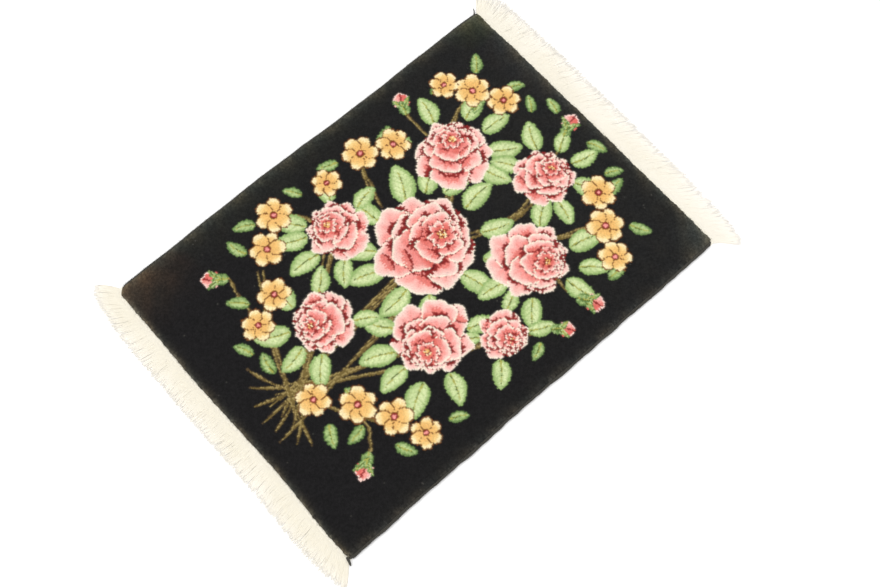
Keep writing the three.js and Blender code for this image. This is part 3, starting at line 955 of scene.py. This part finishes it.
def named(tree, name, kind="FLOAT"):
    return addNode(tree, "GeometryNodeInputNamedAttribute", {"Name": name}, data_type=kind).outputs[0]


def resampled(tree, line, count):
    return addNode(tree, "GeometryNodeResampleCurve", {"Curve": line, "Count": count}).outputs[0]


# Yarn round each line, its ends closed; scale is its thickness at each point
def yarnAlong(tree, line, sides, radius, scale=1.0):
    section = addNode(tree, "GeometryNodeCurvePrimitiveCircle", {"Resolution": sides, "Radius": radius})
    inputs = {"Curve": line, "Profile Curve": section.outputs[0], "Scale": scale, "Fill Caps": True}
    return addNode(tree, "GeometryNodeCurveToMesh", inputs).outputs[0]


def guideLine(name, points, values):
    mesh = bpy.data.meshes.new(name)
    mesh.from_pydata([tuple(p) for p in points], [(i, i + 1) for i in range(len(points) - 1)], [])
    for label, column in values.items():
        mesh.attributes.new(label, "FLOAT", "POINT").data.foreach_set("value", np.asarray(column, np.float32))
    guide = bpy.data.objects.new(name, mesh)
    bpy.context.scene.collection.objects.link(guide)
    return guide


# Runs a tree on its guide, and leaves a plain mesh in its place
def grow(guide, tree, sizes):
    modifier = guide.modifiers.new("grow", "NODES")
    modifier.node_group = tree
    sockets = {item.name: item.identifier for item in tree.interface.items_tree if item.in_out == "INPUT"}
    for label, value in sizes.items():
        modifier[sockets[label]] = value
    depsgraph = bpy.context.evaluated_depsgraph_get()
    seen = guide.evaluated_get(depsgraph)
    mesh = bpy.data.meshes.new_from_object(seen, preserve_all_data_layers=True, depsgraph=depsgraph)
    guide.modifiers.remove(modifier)
    guide.data = mesh
    return guide


# The side bindings: yarn overcast round the cloth's edge
binding = {
    "wraps": 300,
    "stepsPerWrap": 11,
    "yarn": 1.42,  # half its thickness
    "wander": 0.35,
    "wanderScale": 260.0,
    "swayScale": 32.0,
    "swell": {"left": 0.6, "right": 0.35},  # it bulges past its solid
    "sway": {"left": 1.6, "right": 4.5},
    "yarnSides": 5,
    "core": 0.32,  # the cord that is overcast, as a share of the binding's width
    "coreSides": 8,
    "ends": {
        "left": {"near": (0.6, 9), "far": (0.5, 5)},
        "right": {"near": (0.4, 4), "far": (0.4, 4.5)},
    },
    "roundProfile": [(0, 0.4), (0.35, 0.78), (1, 1)],
    "stations": 160,
}


def wrapTree():
    wholes = ("Turns", "Steps")
    measures = ("Half Width", "Half Height", "Yarn", "Wander", "Sway", "Outward")
    tree, into, out = startTree("overcastYarn", wholes, measures)
    line = addNode(tree, "GeometryNodeMeshToCurve", {0: into["Guide"]}).outputs[0]
    line = resampled(tree, line, times(tree, into["Turns"], into["Steps"]))
    along = tree.nodes.new("GeometryNodeSplineParameter").outputs["Factor"]
    size = named(tree, "size")
    angle = times(tree, along, into["Turns"], 2 * math.pi)
    place = tree.nodes.new("GeometryNodeInputPosition").outputs[0]
    drift = times(tree, minus(tree, noise(tree, place, binding["wanderScale"], 2.0), 0.5), into["Wander"])
    slow = times(tree, minus(tree, noise(tree, place, binding["swayScale"], 1.0), 0.5), into["Sway"])
    half = plus(tree, minus(tree, into["Half Width"], into["Yarn"]), plus(tree, drift, slow))
    rise = plus(tree, minus(tree, into["Half Height"], into["Yarn"]), drift)
    outward = times(tree, calc(tree, "COSINE", angle), half, size)
    # At a rounded end the wraps keep to the inner side
    inwards = times(tree, minus(tree, size, 1.0), into["Half Width"])
    aside = times(tree, plus(tree, outward, inwards), into["Outward"])
    upward = times(tree, calc(tree, "SINE", angle), rise, size)
    # Nothing goes below the floor
    standing = addNode(tree, "ShaderNodeSeparateXYZ", {0: place}).outputs[2]
    upward = calc(tree, "MAXIMUM", upward, minus(tree, into["Yarn"], standing))
    shift = combine(tree, aside, 0.0, upward)
    coil = addNode(tree, "GeometryNodeSetPosition", {"Geometry": line, "Offset": shift}).outputs[0]
    endTree(tree, out, yarnAlong(tree, coil, binding["yarnSides"], into["Yarn"]), bindingWool)
    return tree


# A tube through points with a radius at each, its two ends closed
def tube(points, radii, sides):
    points = np.asarray(points, float)
    ahead = np.gradient(points, axis=0)
    ahead /= np.linalg.norm(ahead, axis=1)[:, None]
    helper = np.array([0.0, 0.0, 1.0])
    side = np.cross(ahead, helper)
    side /= np.linalg.norm(side, axis=1)[:, None]
    up = np.cross(side, ahead)
    angles = np.arange(sides) / sides * 2 * np.pi
    ring = np.cos(angles)[None, :, None] * side[:, None] + np.sin(angles)[None, :, None] * up[:, None]
    vertices = (points[:, None] + ring * np.asarray(radii)[:, None, None]).reshape(-1, 3)
    faces = []
    for row in range(len(points) - 1):
        for turn in range(sides):
            a, b = row * sides + turn, row * sides + (turn + 1) % sides
            faces.append((a, a + sides, b + sides, b))
    last = (len(points) - 1) * sides
    faces.append(tuple(range(sides)))
    faces.append(tuple(last + turn for turn in reversed(range(sides))))
    return vertices, faces


# Ends of the binding yarn that stick out at two corners: places and thickness along each
yarnTails = {
    "left": [
        [
            (-297.3, 396.3, 5, 2.6), (-301.6, 401.1, 4.8, 2.2),
            (-306.3, 405.1, 3.2, 1.9), (-311.3, 408.1, 1.6, 1.2),
        ],
    ],
    "right": [
        [(296.6, -399, 5, 3.6), (297, -404.5, 5, 3.4), (297.4, -409.5, 4.8, 2.6)],
        [
            (292.6, -408.2, 4.8, 2.6), (297.4, -408.6, 5.2, 4.1),
            (302.8, -410, 4.8, 3.7), (307.2, -411.6, 4, 1.8),
        ],
    ],
}
tail = {"plies": 3, "steps": 26, "lay": 6.5, "swing": 0.25, "ply": 0.29, "sides": 6}


def smoothRow(rows, steps):
    rows = np.asarray(rows, float)
    at = np.linspace(0, len(rows) - 1, steps)
    number = np.clip(at.astype(int), 0, len(rows) - 2)
    share = (at - number)[:, None]
    before, after = rows[np.maximum(number - 1, 0)], rows[np.minimum(number + 2, len(rows) - 1)]
    first, second = rows[number], rows[number + 1]
    return first + 0.5 * share * (
        second - before + share * (2 * before - 5 * first + 4 * second - after
                                   + share * (3 * (first - second) + after - before))
    )


# Plied yarn: strands twisted about the middle line
def twistedYarn(rows):
    path = smoothRow(rows, tail["steps"])
    places, thick = path[:, :3], path[:, 3]
    run = np.append(0, np.cumsum(np.linalg.norm(np.diff(places, axis=0), axis=1)))
    ahead = np.gradient(places, axis=0)
    ahead /= np.linalg.norm(ahead, axis=1)[:, None]
    side = np.cross(ahead, [0, 0, 1.0])
    up = np.cross(side, ahead)
    made = []
    for ply in range(tail["plies"]):
        angle = 2 * np.pi * (run / tail["lay"] + ply / tail["plies"])
        swing = np.cos(angle)[:, None] * side + np.sin(angle)[:, None] * up
        swing = swing * (thick * tail["swing"])[:, None]
        made.append(tube(places + swing, thick * tail["ply"], tail["sides"]))
    return made


def tubesPiece(name, tubes, material):
    vertices, faces, base = [], [], 0
    for points, quads in tubes:
        vertices.append(points)
        faces += [tuple(base + i for i in quad) for quad in quads]
        base += len(points)
    return meshPiece(name, np.concatenate(vertices) * mm, faces, material)


def addTubes(piece, tubes):
    extra = tubesPiece(piece.name + "Ends", tubes, bindingWool)
    bpy.ops.object.select_all(action="DESELECT")
    extra.select_set(True)
    piece.select_set(True)
    bpy.context.view_layer.objects.active = piece
    bpy.ops.object.join()
    return piece


def bindSide(side):
    sign = -1 if side == "left" else 1
    tipX = sign * (halfWidth - rug["bindingWidth"] * (1 - binding["roundProfile"][0][1]))
    span = []
    for end, direction in (("near", -1), ("far", 1)):
        short, length = binding["ends"][side][end]
        span.append((float(endLine(direction, np.array(tipX))) - direction * short, length))
    (start, startRound), (stop, stopRound) = span
    y = np.linspace(start, stop, binding["stations"])
    shares, sizes = zip(*binding["roundProfile"])
    size = np.minimum(np.interp((y - start) / startRound, shares, sizes),
                      np.interp((stop - y) / stopRound, shares, sizes))
    x = sideLine(sign, y) - sign * rug["bindingWidth"] / 2
    points = np.stack([x, y, np.full(y.shape, rug["bindingHeight"] / 2)], axis=1) * mm
    guide = guideLine("sideBinding" + side.capitalize(), points, {"size": size})
    grow(guide, overcastTree, {
        "Turns": binding["wraps"],
        "Steps": binding["stepsPerWrap"],
        "Half Width": (rug["bindingWidth"] / 2 + binding["swell"][side]) * mm,
        "Half Height": rug["bindingHeight"] / 2 * mm,
        "Yarn": binding["yarn"] * mm,
        "Wander": binding["wander"] * mm,
        "Sway": binding["sway"][side] * mm,
        "Outward": float(sign),
    })
    core = tube(points / mm, size * rug["bindingWidth"] * binding["core"], binding["coreSides"])
    return addTubes(guide, [core] + [ply for rows in yarnTails[side] for ply in twistedYarn(rows)])


print("side bindings")
overcastTree = wrapTree()
bindings = [bindSide(side) for side in ("left", "right")]


# Stray fibres of wool along the rims, over the bindings and the bands
stray = {
    "steps": 4,
    "sides": 3,
    "thick": (0.09, 0.17),  # half their thickness
    "length": (1.4, 4.2),
    "swing": 0.7,  # how far they turn from straight out
    "bend": 0.9,
    "near": {"count": 350, "inset": (0.8, 2.2), "rootHeight": (2.6, 7.0), "tipHeight": (2.5, 3.4)},
    "far": {"count": 500, "inset": (0.6, 2.0), "rootHeight": (2.6, 7.0), "tipHeight": (2.5, 3.4)},
    "left": {"count": 700, "inset": (1.6, 4.2), "rootHeight": (7.6, 8.6), "tipHeight": (5.6, 8.4)},
    "right": {"count": 700, "inset": (1.8, 4.2), "rootHeight": (7.6, 8.6), "tipHeight": (5.6, 8.4)},
    "seed": 52,
}


def strayFibre(luck, side, end):
    rim = stray[side]
    sign = -1 if side in ("near", "left") else 1
    inset = luck.uniform(*rim["inset"])
    if end:
        x = luck.uniform(-1, 1) * (halfWidth - 8)
        y = float(endLine(sign, np.array(x))) - sign * inset
    else:
        y = luck.uniform(-1, 1) * (halfLength - 8)
        x = float(sideLine(sign, y)) - sign * inset
    heading = (math.pi / 2 if end else 0) + (math.pi if sign < 0 else 0) + luck.normal(0, stray["swing"])
    share = np.linspace(0, 1, stray["steps"])
    turned = heading + luck.uniform(-1, 1) * stray["bend"] * share
    step = luck.uniform(*stray["length"]) / (stray["steps"] - 1)
    root, tip = luck.uniform(*rim["rootHeight"]), luck.uniform(*rim["tipHeight"])
    points = np.stack([
        x + np.cumsum(np.cos(turned)) * step,
        y + np.cumsum(np.sin(turned)) * step,
        root + (tip - root) * share**0.7,
    ], axis=1)
    return tube(points, luck.uniform(*stray["thick"]) * (1 - 0.5 * share), stray["sides"])


def fraySides():
    luck = np.random.default_rng(stray["seed"])
    fibresMade = []
    for side in ("near", "far", "left", "right"):
        fibresMade += [strayFibre(luck, side, side in ("near", "far")) for _ in range(stray[side]["count"])]
    return tubesPiece("strayWool", fibresMade, looseWool)


print("stray fibres")
looseWool = yarnMaterial(
    "looseWool", (78, 75, 65), fineness=1300.0, contrast=0.6, patches=0.5, bump=0.0002, sheen=0.05
)
strayWool = fraySides()


# The plain-woven band at each end: weft picks along it, raised where they cross a warp
band = {
    "halfSpan": 299.5,
    "columns": 500,
    "picks": 12,
    "relief": 0.22,
    "dip": 0.6,  # how deep a pick goes under a warp, as a share of the relief
    "sunk": 0.15,
    "edgeDrop": 0.7,
    "waver": 0.18,
    "tuckedIn": 0.6,
}


def weaveBand(end, sign):
    x = np.linspace(-band["halfSpan"], band["halfSpan"], band["columns"])
    tucked = pile["endPull"][end] + band["tuckedIn"]
    inner = endLine(sign, x) - sign * tucked
    out = np.linspace(0, tucked + rug["endSeam"] + rug["bandWidth"], band["picks"])
    gridX, gridOut = np.meshgrid(x, out)
    column, pick = np.meshgrid(np.arange(len(x)), np.arange(len(out)))
    crossing = np.where((column + pick) % 2, 1, -band["dip"])
    top = rug["bandHeight"] - band["sunk"] + band["relief"] * crossing
    top = np.where((pick == 0) | (pick == len(out) - 1), rug["bandHeight"] - band["edgeDrop"], top)
    y = inner[None] + sign * (gridOut + band["waver"] * np.sin(column * 1.9 + pick))
    upper = np.stack([gridX, y, top], axis=-1).reshape(-1, 3)
    rows, columns = gridX.shape
    ring = rimLoop(rows, columns)
    lower = upper[ring].copy()
    lower[:, 2] = 0.0
    number = np.arange(rows * columns, rows * columns + len(ring))
    faces = knotFaces(rows, columns, flip=sign < 0)
    wall = [ring, number, np.roll(number, -1), np.roll(ring, -1)]
    faces += np.stack(wall if sign > 0 else wall[::-1], axis=1).tolist()
    faces.append((number[::-1] if sign > 0 else number).tolist())
    name = "weftBand" + end.capitalize()
    return meshPiece(name, np.concatenate([upper, lower]) * mm, faces, cottonBand, smooth=False)


# The fringe: warp ends that leave the band, cling together in locks and come to rest on the floor
fringe = {
    "threads": 3000,
    "steps": 8,
    "thread": 0.5,  # half its thickness
    "threadSides": 4,
    "thickness": (0.8, 1.15),  # from thread to thread, as a share
    "threadLength": (0.84, 1.08),
    "lockLength": (0.99, 1.01),
    "lockPitch": 4.2,
    "lockJitter": 1.2,
    "lockMiddle": (0.2, 0.8),
    "lockPull": 0.05,
    "lockLean": 0.02,
    "threadLean": 0.04,
    "curl": 1.0,
    "curlScale": 55.0,
    "bow": 2.4,
    "bowSpan": 232.0,
    "bowPhase": {"near": 1.0, "far": 2.0},
    "rootHeight": 1.25,
    "layers": 0.4,
    "taper": 0.65,
    "taperPower": 6.0,
    # The paler tips are a painted highlight
    "glare": {"near": (0.0, 0.7), "far": (0.2, 0.65)},  # how pale the roots are, and how much more the tips
    "glarePower": 3.0,
    "seed": {"near": 4, "far": 9},
    "roots": {"near": (-298.0, 298.5), "far": (-301.0, 298.5)},
    "rootInside": 1.2,
    # The lie of each fringe: place, lean in degrees and length
    "near": [
        (-300, -52, 42), (-276, -42, 42), (-230, -22, 42), (-185, -9, 42), (-110, 3, 39), (-30, -4, 41),
        (60, 2, 42), (130, 7, 43), (190, 3, 43), (245, 13, 42), (280, 31, 42), (300, 44, 43),
    ],
    "far": [
        (-300, -48, 46), (-288, -20, 48), (-260, 1, 50), (-200, 9, 51), (-120, 17, 53), (-40, 25, 56),
        (50, 33, 58), (130, 33, 58), (200, 38, 57), (260, 40, 54), (300, 45, 46),
    ],
}


def fringeTree():
    wholes = ("Threads", "Steps", "Seed")
    measures = (
        "Thread", "Outward", "Lock Pitch", "Lock Pull", "Lock Lean", "Thread Lean", "Curl",
        "Bow", "Bow Span", "Bow Phase", "Root Height", "Layers", "Root Glare", "Tip Glare",
    )
    tree, into, out = startTree("fringeThreads", wholes, measures)
    line = addNode(tree, "GeometryNodeMeshToCurve", {0: into["Guide"]}).outputs[0]
    roots = resampled(tree, line, into["Threads"])
    number = tree.nodes.new("GeometryNodeInputIndex").outputs[0]

    def luckOf(order, span, among):
        seed = plus(tree, into["Seed"], float(order))
        inputs = {2: span[0], 3: span[1], "ID": among, "Seed": seed}
        return addNode(tree, "FunctionNodeRandomValue", inputs, data_type="FLOAT").outputs[1]

    def keep(geometry, name, value, kind="FLOAT"):
        inputs = {"Geometry": geometry, "Name": name, "Value": value}
        return addNode(tree, "GeometryNodeStoreNamedAttribute", inputs, data_type=kind).outputs[0]

    # What each thread is given at its root, and how it clings to its lock
    place = tree.nodes.new("GeometryNodeInputPosition").outputs[0]
    placeX = addNode(tree, "ShaderNodeSeparateXYZ", {0: place}).outputs[0]
    jitter = fringe["lockJitter"] * mm
    jittered = plus(tree, placeX, luckOf(1, (-jitter, jitter), number))
    lockNumber = calc(tree, "FLOOR", calc(tree, "DIVIDE", jittered, into["Lock Pitch"]))
    lockMiddle = plus(tree, lockNumber, luckOf(2, fringe["lockMiddle"], lockNumber))
    lockMiddle = times(tree, lockMiddle, into["Lock Pitch"])
    swing = times(tree, luckOf(3, (-1.0, 1.0), lockNumber), into["Lock Lean"])
    sway = times(tree, luckOf(4, (-1.0, 1.0), number), into["Thread Lean"])
    reach = times(tree, named(tree, "reach"), luckOf(5, fringe["threadLength"], number))
    phase = calc(tree, "DIVIDE", placeX, into["Bow Span"])
    phase = calc(tree, "MULTIPLY_ADD", phase, 2 * math.pi, into["Bow Phase"])
    given = {
        "leanHere": plus(tree, named(tree, "lean"), plus(tree, swing, sway)),
        "reachHere": times(tree, reach, luckOf(6, fringe["lockLength"], lockNumber)),
        "bowHere": times(tree, calc(tree, "SINE", phase), into["Bow"]),
        "pullHere": times(tree, minus(tree, lockMiddle, placeX), into["Lock Pull"]),
        "levelHere": luckOf(7, (0.0, 1.0), number),
        "thickHere": luckOf(8, fringe["thickness"], number),
    }
    roots = keep(roots, "root", place, "FLOAT_VECTOR")
    for name, value in given.items():
        roots = keep(roots, name, value)
    straight = addNode(tree, "GeometryNodeCurvePrimitiveLine", {"End": (0.0, 0.0, 0.01)}).outputs[0]
    inputs = {"Points": roots, "Instance": resampled(tree, straight, into["Steps"])}
    threads = addNode(tree, "GeometryNodeInstanceOnPoints", inputs).outputs[0]
    threads = addNode(tree, "GeometryNodeRealizeInstances", {0: threads}).outputs[0]

    # The way of each thread from its root
    along = tree.nodes.new("GeometryNodeSplineParameter").outputs["Factor"]
    leanHere, thickHere = named(tree, "leanHere"), named(tree, "thickHere")
    sine, cosine = calc(tree, "SINE", leanHere), calc(tree, "COSINE", leanHere)
    forward = combine(tree, sine, times(tree, cosine, into["Outward"]), 0.0)
    aside = combine(tree, cosine, times(tree, sine, into["Outward"], -1.0), 0.0)
    run = times(tree, along, named(tree, "reachHere"))
    arch = times(tree, along, minus(tree, 1.0, along), 4.0)
    rootPlace = named(tree, "root", "FLOAT_VECTOR")
    level = named(tree, "levelHere")
    where = combine(tree, times(tree, level, 3.0), times(tree, along, 0.035), 0.0)
    curl = noise(tree, plusVector(tree, rootPlace, where), fringe["curlScale"], 2.0)
    curl = times(tree, minus(tree, curl, 0.5), 2.0, times(tree, into["Curl"], along))
    sideways = plus(tree, times(tree, named(tree, "bowHere"), arch), curl)
    drawn = combine(tree, times(tree, named(tree, "pullHere"), times(tree, along, along)), 0.0, 0.0)
    fall = times(tree, calc(tree, "POWER", minus(tree, 1.0, along), 3.0), into["Root Height"])
    layer = times(tree, level, into["Layers"], arch)
    height = plus(tree, fall, layer, times(tree, into["Thread"], thickHere))
    spot = plusVector(tree, rootPlace, scaled(tree, forward, run), scaled(tree, aside, sideways))
    spot = plusVector(tree, spot, plusVector(tree, drawn, combine(tree, 0.0, 0.0, height)))
    threads = addNode(tree, "GeometryNodeSetPosition", {"Geometry": threads, "Position": spot}).outputs[0]
    # Painted highlight: each thread grows paler towards its tip
    glare = calc(tree, "POWER", along, fringe["glarePower"])
    threads = keep(threads, "glare", calc(tree, "MULTIPLY_ADD", glare, into["Tip Glare"], into["Root Glare"]))
    taper = calc(tree, "POWER", along, fringe["taperPower"])
    taper = calc(tree, "MULTIPLY_ADD", taper, -fringe["taper"], 1.0)
    radius = times(tree, thickHere, taper)
    threads = addNode(tree, "GeometryNodeSetCurveRadius", {"Curve": threads, "Radius": radius}).outputs[0]
    radiusHere = tree.nodes.new("GeometryNodeInputRadius").outputs[0]
    faces = yarnAlong(tree, threads, fringe["threadSides"], into["Thread"], radiusHere)
    endTree(tree, out, faces, cottonThread)
    return tree


def hangFringe(end, sign):
    x = np.linspace(*fringe["roots"][end], 240)
    y = endLine(sign, x) + sign * (rug["endSeam"] + rug["bandWidth"] - fringe["rootInside"])
    places, leans, reaches = (np.array(column, float) for column in zip(*fringe[end]))
    lean = np.radians(np.interp(x, places, leans))
    reach = np.interp(x, places, reaches) + fringe["rootInside"]
    points = np.stack([x, y, np.zeros(x.shape)], axis=1) * mm
    guide = guideLine("fringe" + end.capitalize(), points, {"lean": lean, "reach": reach * mm})
    rootGlare, tipGlare = fringe["glare"][end]
    return grow(guide, threadTree, {
        "Threads": fringe["threads"],
        "Steps": fringe["steps"],
        "Seed": fringe["seed"][end],
        "Thread": fringe["thread"] * mm,
        "Outward": float(sign),
        "Lock Pitch": fringe["lockPitch"] * mm,
        "Lock Pull": fringe["lockPull"],
        "Lock Lean": fringe["lockLean"],
        "Thread Lean": fringe["threadLean"],
        "Curl": fringe["curl"] * mm,
        "Bow": fringe["bow"] * mm,
        "Bow Span": fringe["bowSpan"] * mm,
        "Bow Phase": fringe["bowPhase"][end],
        "Root Height": fringe["rootHeight"] * mm,
        "Layers": fringe["layers"] * mm,
        "Root Glare": rootGlare,
        "Tip Glare": tipGlare,
    })


print("end bands and fringes")
threadTree = fringeTree()
bands = [weaveBand(end, sign) for end, sign in (("near", -1), ("far", 1))]
fringes = [hangFringe(end, sign) for end, sign in (("near", -1), ("far", 1))]


# The floor, the light and the camera
stageLook = {
    "size": 14.0,
    "below": 0.3,
    "floor": (0.99, 0.99, 0.99),
    "sky": 0.90,
    "sun": 1.2,
    "sunAngle": 40,
    "sunTurn": (20, -10, 0),
}


def setStage():
    half = stageLook["size"] / 2
    corners = [(-half, -half), (half, -half), (half, half), (-half, half)]
    material, _, shader = startMaterial("paleFloor")
    shader.inputs["Base Color"].default_value = (*stageLook["floor"], 1.0)
    shader.inputs["Roughness"].default_value = 0.9
    shader.inputs["Specular IOR Level"].default_value = 0.0
    points = [(x, y, -stageLook["below"] * mm) for x, y in corners]
    floor = meshPiece("floor", points, [(0, 1, 2, 3)], material)
    world = bpy.data.worlds.new("softSky")
    world.use_nodes = True
    world.node_tree.nodes["Background"].inputs["Color"].default_value = (1.0, 1.0, 1.0, 1.0)
    world.node_tree.nodes["Background"].inputs["Strength"].default_value = stageLook["sky"]
    bpy.context.scene.world = world
    sun = bpy.data.lights.new("softSun", "SUN")
    sun.energy = stageLook["sun"]
    sun.angle = math.radians(stageLook["sunAngle"])
    lamp = bpy.data.objects.new("softSun", sun)
    lamp.rotation_euler = [math.radians(turn) for turn in stageLook["sunTurn"]]
    bpy.context.scene.collection.objects.link(lamp)
    bpy.context.scene.view_settings.view_transform = "Standard"


# Seen from above one corner, as worked out from the four corners of the pile in an 880 by 587 picture
view = {
    "place": (0.6649, -0.5965, 2.221),
    "right": (0.6663, 0.7455, 0.0172),
    "back": (0.2546, -0.2491, 0.9345),
    "lens": 58.13,
    "sensor": 36.0,
}


def setCamera():
    back = Vector(view["back"]).normalized()
    right = Vector(view["right"])
    right = (right - back * right.dot(back)).normalized()
    up = back.cross(right)
    lens = bpy.data.cameras.new("photoView")
    lens.lens, lens.sensor_width = view["lens"], view["sensor"]
    camera = bpy.data.objects.new("photoView", lens)
    turn = Matrix((right, up, back)).transposed().to_4x4()
    camera.matrix_world = Matrix.Translation(view["place"]) @ turn
    bpy.context.scene.collection.objects.link(camera)
    bpy.context.scene.camera = camera


print("floor, light and camera")
setStage()
setCamera()

print("frame")
pieces = [
    (rugPile, "rug_cloth", "wool_pile"),
    (rugBack, "rug_cloth", "wool_pile"),
    (strayWool, "rug_cloth", "wool_pile"),
    (bindings[0], "side_binding_left", "binding_wool"),
    (bindings[1], "side_binding_right", "binding_wool"),
    (bands[0], "fringe_near", "cotton_warp"),
    (fringes[0], "fringe_near", "cotton_warp"),
    (bands[1], "fringe_far", "cotton_warp"),
    (fringes[1], "fringe_far", "cotton_warp"),
]
for piece, node, slot in pieces:
    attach(piece, "root")
    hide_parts(node)
for piece, _, _ in pieces:
    piece.data.calc_loop_triangles()
    print(piece.name, len(piece.data.loop_triangles), "triangles")
